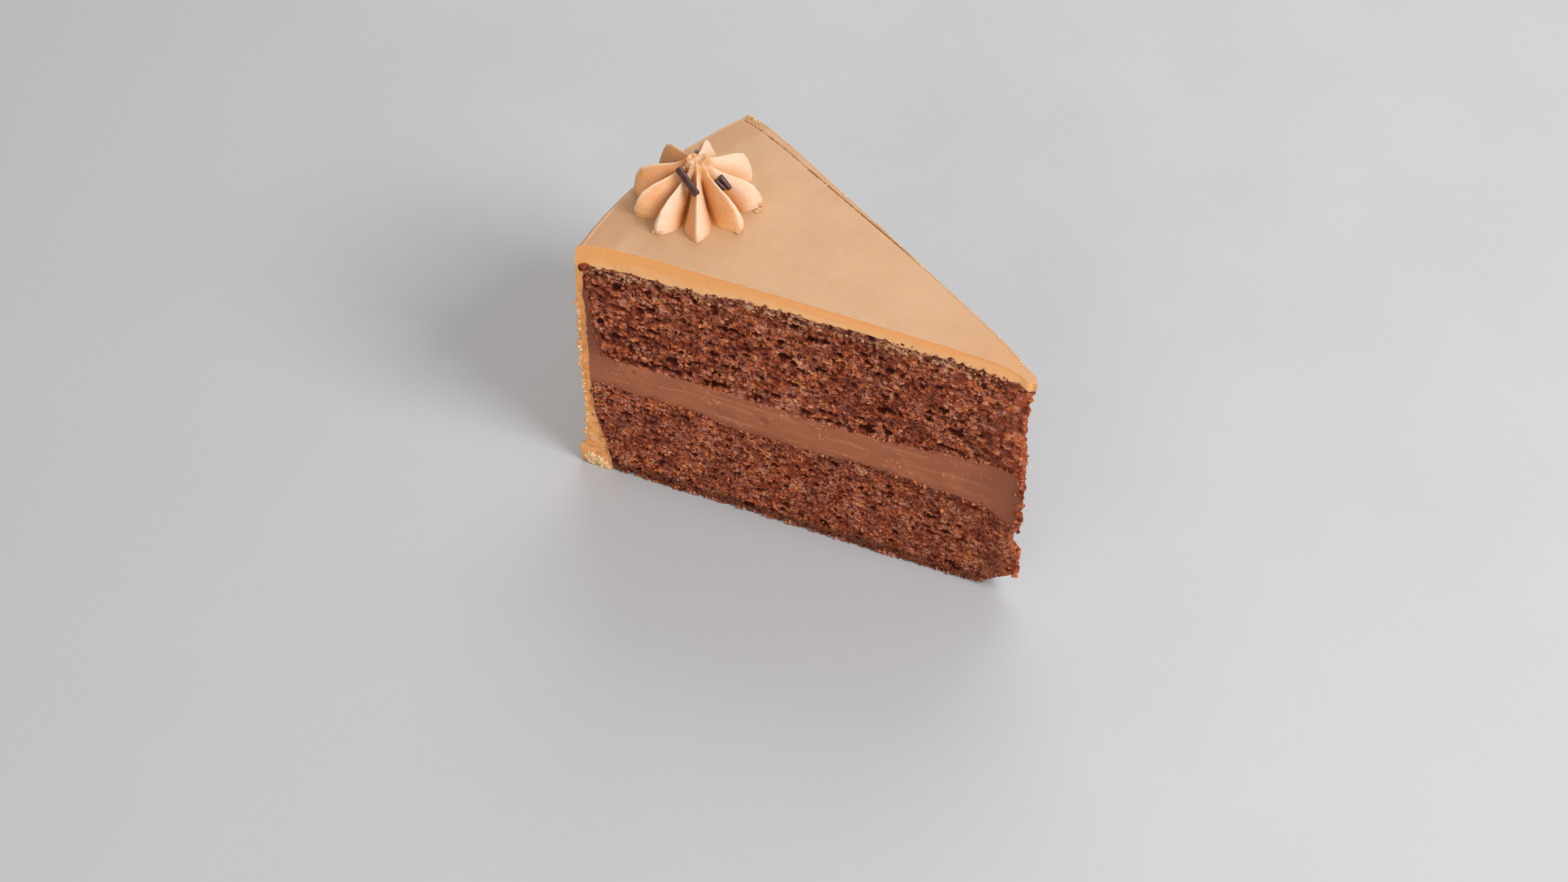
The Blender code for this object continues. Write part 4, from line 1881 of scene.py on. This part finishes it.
@dataclass
class Sprinkles:
    """Four chocolate sprinkles on the rosette.

    Attributes:
        rosette: the rosette.
        rods: each one's two ends, from the foot of the rosette's middle, and its radius, in mm.
        rounding: how far its rims are rounded, in mm.
    """

    rosette: Rosette
    rods: tuple[tuple[tuple[float, float, float], tuple[float, float, float], float], ...] = (
        ((-2.1, -4.55, 10.2), (5.97, -7.26, 8.2), 0.95),
        ((5.5, 2.1, 7.8), (8.5, 2.55, 4.85), 0.7),
        ((4.8, 1.15, 6.65), (7.35, 1.9, 4.65), 0.7),
        ((-4.84, 4.73, 6.6), (-5.6, 7.0, 6.4), 0.75),
    )
    rounding: float = 0.3

    def build(self, made: bpy.types.Material) -> bpy.types.Object:
        """Makes the sprinkles as one piece and shows it.

        Args:
            made: their material.

        Returns:
            The piece.
        """
        middle = self.rosette.middle()
        top = float(self.rosette.under(middle[0], middle[1]))
        bm = bmesh.new()
        for *ends, radius in self.rods:
            start, end = (Vector((p[0] + middle[0], p[1] + middle[1], p[2] + top)) for p in ends)
            run = end - start
            others = set(bm.verts)
            rod = bmesh.ops.create_cone(
                bm, cap_ends=True, segments=20, radius1=radius, radius2=radius, depth=run.length
            )["verts"]
            rims = {e for v in rod for e in v.link_edges if e.calc_face_angle(0) > 1}
            bmesh.ops.bevel(
                bm, geom=list(rims), offset=self.rounding, offset_type="OFFSET", segments=3,
                profile=0.5, affect="EDGES", material=-1
            )
            turn = run.to_track_quat("Z", "Y").to_matrix().to_4x4()
            place = Matrix.Translation((start + end) / 2) @ turn
            whole = [v for v in bm.verts if v not in others]
            bmesh.ops.transform(bm, matrix=place, verts=whole)
        mesh = finished(bm, "sprinkles")
        write_points(mesh, read_points(mesh))
        return add_piece("sprinkles", mesh, made, Slot.PIPED)


# Small things that lie on the slice


@dataclass
class Lumps:
    """Many small lumps of one kind, gathered and then joined into one piece.

    Attributes:
        name: the piece's name.
        slot: the record's slot that it belongs to.
        seed: picks the lumps' shapes.
        rough: how uneven each lump is, against its size.
        soft: how much broader bulges count against the small unevenness.
        places: the middles of the lumps added so far, one array for each call.
        axes: their three half-axes, in the same way.
    """

    name: str
    slot: Slot
    seed: int
    rough: float = 0.3
    soft: float = 0.8
    places: list[Array] = field(default_factory=list)
    axes: list[Array] = field(default_factory=list)

    def __post_init__(self) -> None:
        """Starts the random draws."""
        self.random = np.random.default_rng(self.seed)

    def add(self, places: Array, sizes: Array, thin: tuple[Vector, float] | None = None) -> None:
        """Adds lumps.

        Args:
            places: their middles in mm, one row each.
            sizes: their radii in mm.
            thin: a direction across which they are flat, and how thin they are in it.
        """
        count = len(places)
        stretch = self.random.uniform(0.45, 1.35, (count, 3))
        turns = np.linalg.qr(self.random.normal(size=(count, 3, 3)))[0]
        axes = turns * (stretch * sizes[:, None])[:, None, :]
        if thin is not None:
            across = np.asarray(thin[0], float)
            flatten = np.eye(3) - (1 - thin[1]) * np.outer(across, across)
            axes = flatten @ axes
        self.places.append(places)
        self.axes.append(axes)

    def build(self, made: bpy.types.Material, box: tuple[Array, Array]) -> bpy.types.Object:
        """Makes the piece.

        Args:
            made: its material.
            box: the lowest and highest corners, in mm, that the lumps stay between.

        Returns:
            The piece.
        """
        bm = bmesh.new()
        bmesh.ops.create_icosphere(bm, subdivisions=LUMP_DETAIL, radius=1)
        ball = np.array([v.co[:] for v in bm.verts])
        faces = np.array([[v.index for v in f.verts] for f in bm.faces])
        bm.free()
        places, axes = np.concatenate(self.places), np.concatenate(self.axes)
        count = len(places)
        phase = self.random.uniform(0, FULL_TURN, (count, 1, 3))
        swell = self.soft * np.sin(3.1 * ball[None] + phase).sum(2) / 3
        swell = swell + self.random.uniform(-1, 1, (count, len(ball)))
        lumps = ball[None] * (1 + self.rough * swell)[:, :, None]
        points = places[:, None] + np.einsum("nvi,nji->nvj", lumps, axes)
        points = np.clip(points, box[0], box[1]).reshape(-1, 3)
        corners = (faces[None] + np.arange(count)[:, None, None] * len(ball)).reshape(-1, 3)
        mesh = bpy.data.meshes.new(self.name)
        mesh.from_pydata(points.tolist(), [], corners.tolist())
        write_points(mesh, points)
        tone = np.repeat(self.random.uniform(0.2, 0.85, count), len(ball))
        # Painted light: lumps near the thin end are marked to glow, as if lit from behind.
        edge = np.repeat(np.exp(-(TIP_X - places[:, 0]) / 1.8), len(ball))
        paint(mesh, tone=tone, edge=edge)
        return add_piece(self.name, mesh, made, self.slot)


@dataclass
class Litter:
    """Crumbs, specks and flakes, and where they lie.

    Attributes:
        wedge: the slice.
        layers: the lines between the layers.
        seed: starts the random draws.
        foot_crumbs: crumbs along the foot of each cut.
        face_crumbs: crumbs tried for all over each cut.
        tip_crumbs: crumbs down the thin end: low, beside the cream and above it.
        strip_crumbs: crumbs along the strip of cream, on each cut.
        corner_crumbs: crumbs in the near top corner.
        specks: buttercream specks on each cut.
        flakes: flakes all over the outer side, and along its far edge.
        burrs: burrs along the far top edge.
        back_bits: bits at the far top corner.
        bits: bits at the near foot.
        ragged_lobes: degrees, reach in mm and number of wisps of each ragged lobe.
    """

    wedge: Wedge
    layers: Layers
    seed: int = 900
    foot_crumbs: int = 170
    face_crumbs: int = 260
    tip_crumbs: tuple[int, int, int] = (60, 110, 60)
    strip_crumbs: int = 60
    corner_crumbs: int = 6
    specks: int = 210
    flakes: tuple[int, int] = (110, 240)
    burrs: int = 130
    back_bits: int = 22
    bits: int = 150
    ragged_lobes: tuple[tuple[float, float, int], ...] = (
        (24, 16.2, 8), (347.5, 17.4, 7), (277, 17.5, 4)
    )

    def __post_init__(self) -> None:
        """Starts the random draws."""
        self.random = np.random.default_rng(self.seed)

    def on_cut(self, cut: Cut, radius: Array, height: Array, drop: Array) -> Array:
        """Finds places on a cut face.

        Args:
            cut: which cut face.
            radius: their radii, in mm.
            height: their heights, in mm.
            drop: how far they are under the face, in mm.

        Returns:
            The places, one row each.
        """
        angle = self.wedge.angle(np.full(len(radius), float(cut is Cut.FAR)))
        places = self.wedge.place(radius, angle, height)
        return places + drop[:, None] * self.wedge.inwards(cut)

    def spread(self, low: float, high: float, count: int) -> Array:
        """Random numbers between two values."""
        return self.random.uniform(low, high, count)

    def strew(
        self, lumps: Lumps, cut: Cut, radius: Array, height: Array,
        drops: tuple[float, float], sizes: tuple[float, float], kept: Array | None = None,
    ) -> None:
        """Adds lumps that lie on a cut face.

        Args:
            lumps: the kind that they belong to.
            cut: which cut face.
            radius: their radii, in mm.
            height: their heights, in mm.
            drops: least and greatest depth of their middles under the face, in mm.
            sizes: least and greatest size, in mm.
            kept: which of them are kept, if not all are.
        """
        places = self.on_cut(cut, radius, height, self.spread(*drops, len(radius)))
        drawn = self.spread(*sizes, len(radius))
        if kept is not None:
            places, drawn = places[kept], drawn[kept]
        lumps.add(places, drawn)

    def sponge_crumbs(self) -> Lumps:
        """Scatters dark crumbs along the borders, on the cut faces and down the thin end.

        Returns:
            The crumbs.
        """
        crumbs = Lumps("loose_crumbs", Slot.SPONGE, self.seed + 1, 0.34)
        layers = self.layers
        lines = (
            (layers.crown, -0.9, 150),
            (layers.cream_top, 0.3, 130),
            (layers.cream_bottom, -0.2, 150),
        )
        for cut in Cut:
            for line, shift, count in lines:
                radius = self.spread(3, 115, count)
                height = line.at(radius) + shift + self.random.normal(0, 0.35, count)
                self.strew(crumbs, cut, radius, height, (0.35, 0.75), (0.25, 0.55))
            count = self.foot_crumbs
            radius, sizes = self.spread(9, 113, count), self.spread(0.22, 0.5, count)
            height = layers.underside.at(radius) + sizes + self.spread(0, 0.5, count)
            crumbs.add(self.on_cut(cut, radius, height, self.spread(0.1, 0.6, count)), sizes)
            count = self.face_crumbs
            radius, height = self.spread(4, 115, count), self.spread(2, 71, count)
            clear = height < layers.cream_bottom.at(radius) - 1
            clear |= height > layers.cream_top.at(radius) + 1
            clear &= height < layers.crown.at(radius) - 0.5
            self.strew(crumbs, cut, radius, height, (0.3, 0.6), (0.3, 0.6), clear)
        self.add_tip_crumbs(crumbs)
        height = self.spread(42, 66, self.strip_crumbs)
        radius = layers.sponge_side.at(height) - self.spread(0, 1.2, self.strip_crumbs)
        for cut in Cut:
            self.strew(crumbs, cut, radius, height, (0.3, 0.7), (0.3, 0.6))
        count = self.corner_crumbs
        radius, height = self.spread(117.6, 118.4, count), self.spread(68.2, 70.0, count)
        self.strew(crumbs, Cut.NEAR, radius, height, (0.2, 0.4), (0.9, 1.25))
        return crumbs

    def add_tip_crumbs(self, crumbs: Lumps) -> None:
        """Adds the crumbs down the thin end.

        Args:
            crumbs: the crumbs that they belong to.
        """
        spans = zip(((7, 17), (22, 43), (42, 71)), self.tip_crumbs)
        height = np.concatenate([self.spread(*span, count) for span, count in spans])
        count = len(height)
        sizes = self.spread(0.3, 0.75, count)
        radius = self.layers.tip.at(height) + 0.7 * sizes + self.random.exponential(0.5, count)
        angle = self.spread(-1, 1, count) * self.wedge.half_angle
        crumbs.add(self.wedge.place(radius, angle, height), sizes)

    def cream_specks(self) -> Lumps:
        """Drags buttercream over the upper edge of the upper sponge.

        Returns:
            Its specks.
        """
        specks = Lumps("cream_specks", Slot.BUTTERCREAM, self.seed + 2, 0.3)
        count = self.specks
        for cut in Cut:
            radius = self.spread(8, 114, count)
            below = np.minimum(self.random.exponential(1.8, count), 6.5)
            height = self.layers.crown.at(radius) - below
            drop = self.spread(0.45, 0.75, count)
            sizes = self.spread(0.25, 0.6, count) * (1.15 - 0.08 * below)
            places = self.on_cut(cut, radius, height, drop)
            specks.add(places, sizes, (self.wedge.inwards(cut), 0.45))
        return specks

    def side_flakes(self) -> Lumps:
        """Strews flakes over the outer side, and burrs along the far top edge.

        Returns:
            The flakes and burrs.
        """
        flakes = Lumps("side_flakes", Slot.BUTTERCREAM, self.seed + 3, 0.42, 1.2)
        all_over, edge = self.flakes
        height = np.concatenate([self.spread(3, 58, all_over), self.spread(12, 54, edge)])
        share = np.concatenate([self.spread(-1, 1, all_over), self.spread(0.96, 0.998, edge)])
        count = all_over + edge
        radius = self.layers.wall_outer.at(height) + self.spread(-0.3, 0.25, count)
        places = self.wedge.place(radius, share * self.wedge.half_angle, height)
        flat = (self.wedge.inwards(Cut.NEAR), 0.4)
        flakes.add(places, self.spread(0.15, 0.5, count), flat)
        radius = self.spread(2, 119, self.burrs)
        height = self.layers.top.at(radius) - self.spread(0.2, 0.45, self.burrs)
        self.strew(flakes, Cut.FAR, radius, height, (0.1, 0.3), (0.12, 0.26))
        radius = self.spread(113, 119, self.back_bits)
        height = self.layers.top.at(radius) - 0.1
        self.strew(flakes, Cut.FAR, radius, height, (0.2, 1.4), (0.2, 0.4))
        return flakes

    def foot_bits(self) -> Lumps:
        """Crumbles pale buttercream at the near foot of the outer side.

        Returns:
            Its bits.
        """
        bits = Lumps("foot_bits", Slot.BUTTERCREAM, self.seed + 4, 0.22)
        radius = self.spread(114, 120.5, self.bits)
        height = self.spread(0.3, 3.4, self.bits) * np.minimum(1, (radius - 113) / 4)
        self.strew(bits, Cut.NEAR, radius, height, (0, 0.8), (0.25, 0.75))
        return bits

    def feathers(self, rosette: Rosette) -> Lumps:
        """Frays the ends of three of the rosette's lobes.

        Args:
            rosette: the rosette.

        Returns:
            The torn wisps.
        """
        wisps = Lumps("rosette_wisps", Slot.PIPED, self.seed + 5, 0.25)
        middle = rosette.middle()
        for turn, far, count in self.ragged_lobes:
            start = math.radians(turn)
            angle = np.radians(turn + self.spread(-5, 5, count) * (1 + (turn < 90)))
            reach = self.spread(far - 0.5, far + 0.3, count) - 8 * (angle - start) ** 2
            x, y = middle[0] + reach * np.cos(angle), middle[1] + reach * np.sin(angle)
            places = np.stack([x, y, rosette.under(x, y) + self.spread(0.1, 0.8, count)], 1)
            away = np.array([math.cos(start), math.sin(start), -0.2])
            wisps.add(places, self.spread(0.15, 0.26, count), (away / 1.02, 3.2))
        return wisps


# The stage

# Width of the camera's sensor, in mm.
SENSOR = 36


def towards(azimuth: float, elevation: float) -> Vector:
    """Finds a direction away from the slice.

    Args:
        azimuth: degrees round from the front.
        elevation: degrees above the table.

    Returns:
        The direction.
    """
    a, e = math.radians(azimuth), math.radians(elevation)
    return Vector((math.sin(a) * math.cos(e), -math.cos(a) * math.cos(e), math.sin(e)))


@dataclass(frozen=True)
class View:
    """The photograph's camera, found from the slice's straight edges.

    Attributes:
        azimuth: degrees round from the front.
        elevation: degrees above the table.
        roll: degrees that it leans.
        distance: mm from the point that it looks at.
        aim: that point, on the table, in mm.
        lens: focal length in mm on a 36 mm sensor.
    """

    azimuth: float = 38.01
    elevation: float = 45.18
    roll: float = 0.954
    distance: float = 767.5
    aim: tuple[float, float] = (-18.84, 5.67)
    lens: float = 66.4

    def build(self) -> None:
        """Makes the camera and looks through it."""
        back = towards(self.azimuth, self.elevation)
        turned, roll = math.radians(self.azimuth), math.radians(self.roll)
        level = Vector((math.cos(turned), math.sin(turned), 0))
        upright = back.cross(level)
        right = level * math.cos(roll) + upright * math.sin(roll)
        up = upright * math.cos(roll) - level * math.sin(roll)
        camera = bpy.data.cameras.new("camera")
        camera.lens = self.lens
        camera.sensor_width = SENSOR
        camera.clip_start = 0.01
        holder = placed("camera", camera)
        turn = Matrix((right, up, back)).transposed().to_4x4()
        spot = Vector((*self.aim, 0)) + back * self.distance
        holder.matrix_world = Matrix.Translation(spot * MM) @ turn
        bpy.context.scene.camera = holder


@dataclass(frozen=True)
class SoftLamp:
    """A large square lamp aimed at the slice.

    Attributes:
        name: its name.
        azimuth: degrees round from the front, as the camera's.
        elevation: degrees above the table.
        distance: metres away.
        size: metres across.
        power: watts.
        colour: its tint.
    """

    name: str
    azimuth: float
    elevation: float
    distance: float
    size: float
    power: float
    colour: Colour = (1, 1, 1)

    def build(self) -> None:
        """Makes the lamp."""
        away = towards(self.azimuth, self.elevation)
        lamp = bpy.data.lights.new(self.name, "AREA")
        lamp.size = self.size
        lamp.energy = self.power
        lamp.color = self.colour
        turn = away.to_track_quat("Z", "Y").to_matrix().to_4x4()
        placed(self.name, lamp).matrix_world = Matrix.Translation(away * self.distance) @ turn


@dataclass(frozen=True)
class Studio:
    """The pale floor and the soft light.

    Attributes:
        floor: the floor's colour.
        floor_size: half of its width, in metres.
        sky: colour of the light from all round.
        sky_strength: its strength.
        lamps: the lamps.
    """

    floor: Colour = (0.50, 0.50, 0.51)
    floor_size: float = 3.0
    sky: Colour = (1.0, 0.98, 0.96)
    sky_strength: float = 0.36
    lamps: tuple[SoftLamp, ...] = (
        SoftLamp("key", 92, 44, 1.1, 0.5, 10, (0.98, 0.99, 1.0)),
        SoftLamp("fill", 12, 18, 1.3, 0.9, 6.5, (1.0, 0.96, 0.92)),
        SoftLamp("back", 205, 38, 1.1, 0.9, 5, (1.0, 1.0, 1.0)),
    )

    def build(self) -> None:
        """Lays the floor and hangs the lamps."""
        bm = bmesh.new()
        bmesh.ops.create_grid(bm, x_segments=1, y_segments=1, size=self.floor_size)
        mesh = finished(bm, "floor")
        pale = PlainFinish(self.floor, tuple(c * 0.985 for c in self.floor), 60, 0.6, 0.02)
        mesh.materials.append(pale.build("floor"))
        placed("floor", mesh)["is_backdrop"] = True
        for lamp in self.lamps:
            lamp.build()
        world = bpy.data.worlds.new("soft_room")
        world.use_nodes = True
        sky = world.node_tree.nodes["Background"]
        sky.inputs["Color"].default_value = (*self.sky, 1)
        sky.inputs["Strength"].default_value = self.sky_strength
        bpy.context.scene.world = world
        bpy.context.scene.view_settings.view_transform = "Standard"


def corners(box: tuple) -> list[list[float]]:
    """A box as plain lists of numbers."""
    return [list(corner) for corner in box]


def main() -> None:
    """Dresses the slice and sets the stage."""
    logging.basicConfig(level=logging.INFO, format="%(name)s: %(message)s")
    cad_box = corners(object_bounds())
    low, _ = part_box("frosting")
    layers = Layers()
    foot = max(radius for _, radius in layers.wall_outer.knots)
    wedge = Wedge(tip_x=foot + low.x / MM)
    low_sponge = SpongeFinish(0.85).build("fine_sponge")
    top_sponge = SpongeFinish(1.2).build("coarse_sponge")
    LowerSponge("sponge_bottom", wedge, layers, Crumb(0.8, 5)).build(low_sponge)
    UpperSponge("sponge_top", wedge, layers, Crumb(1.0, 155)).build(top_sponge)
    Filling(wedge, layers).build(CreamFinish().build("chocolate_cream"))
    Frosting(wedge, layers).build(ButtercreamFinish().build("buttercream"))
    rosette = Rosette(wedge, layers)
    rosette.build(PipedFinish().build("piped_buttercream"))
    chocolate = PlainFinish((0.055, 0.018, 0.016), (0.09, 0.033, 0.028), 1.2, 0.34, 0.06)
    Sprinkles(rosette).build(chocolate.build("sprinkle_chocolate"))
    litter = Litter(wedge, layers)
    inside = (np.array(cad_box[0]) / MM, np.array(cad_box[1]) / MM)
    litter.sponge_crumbs().build(top_sponge, inside)
    specks = PlainFinish((0.62, 0.32, 0.16), (0.46, 0.20, 0.10), 1.5, 0.55, 0.05, 0.2)
    litter.cream_specks().build(specks.build("buttercream_specks"), inside)
    pale = PlainFinish((0.84, 0.62, 0.38), (0.76, 0.42, 0.18), 3.0, 0.5, 0.05, 0.3)
    litter.side_flakes().build(pale.build("buttercream_flakes"), inside)
    litter.foot_bits().build(pale.build("buttercream_bits"), inside)
    wisps = PlainFinish((0.80, 0.50, 0.26), (0.80, 0.44, 0.17), 2.0, 0.5, 0.05, 0.3)
    litter.feathers(rosette).build(wisps.build("buttercream_wisps"), inside)
    View().build()
    Studio().build()
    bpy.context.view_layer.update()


if __name__ == "__main__":
    main()
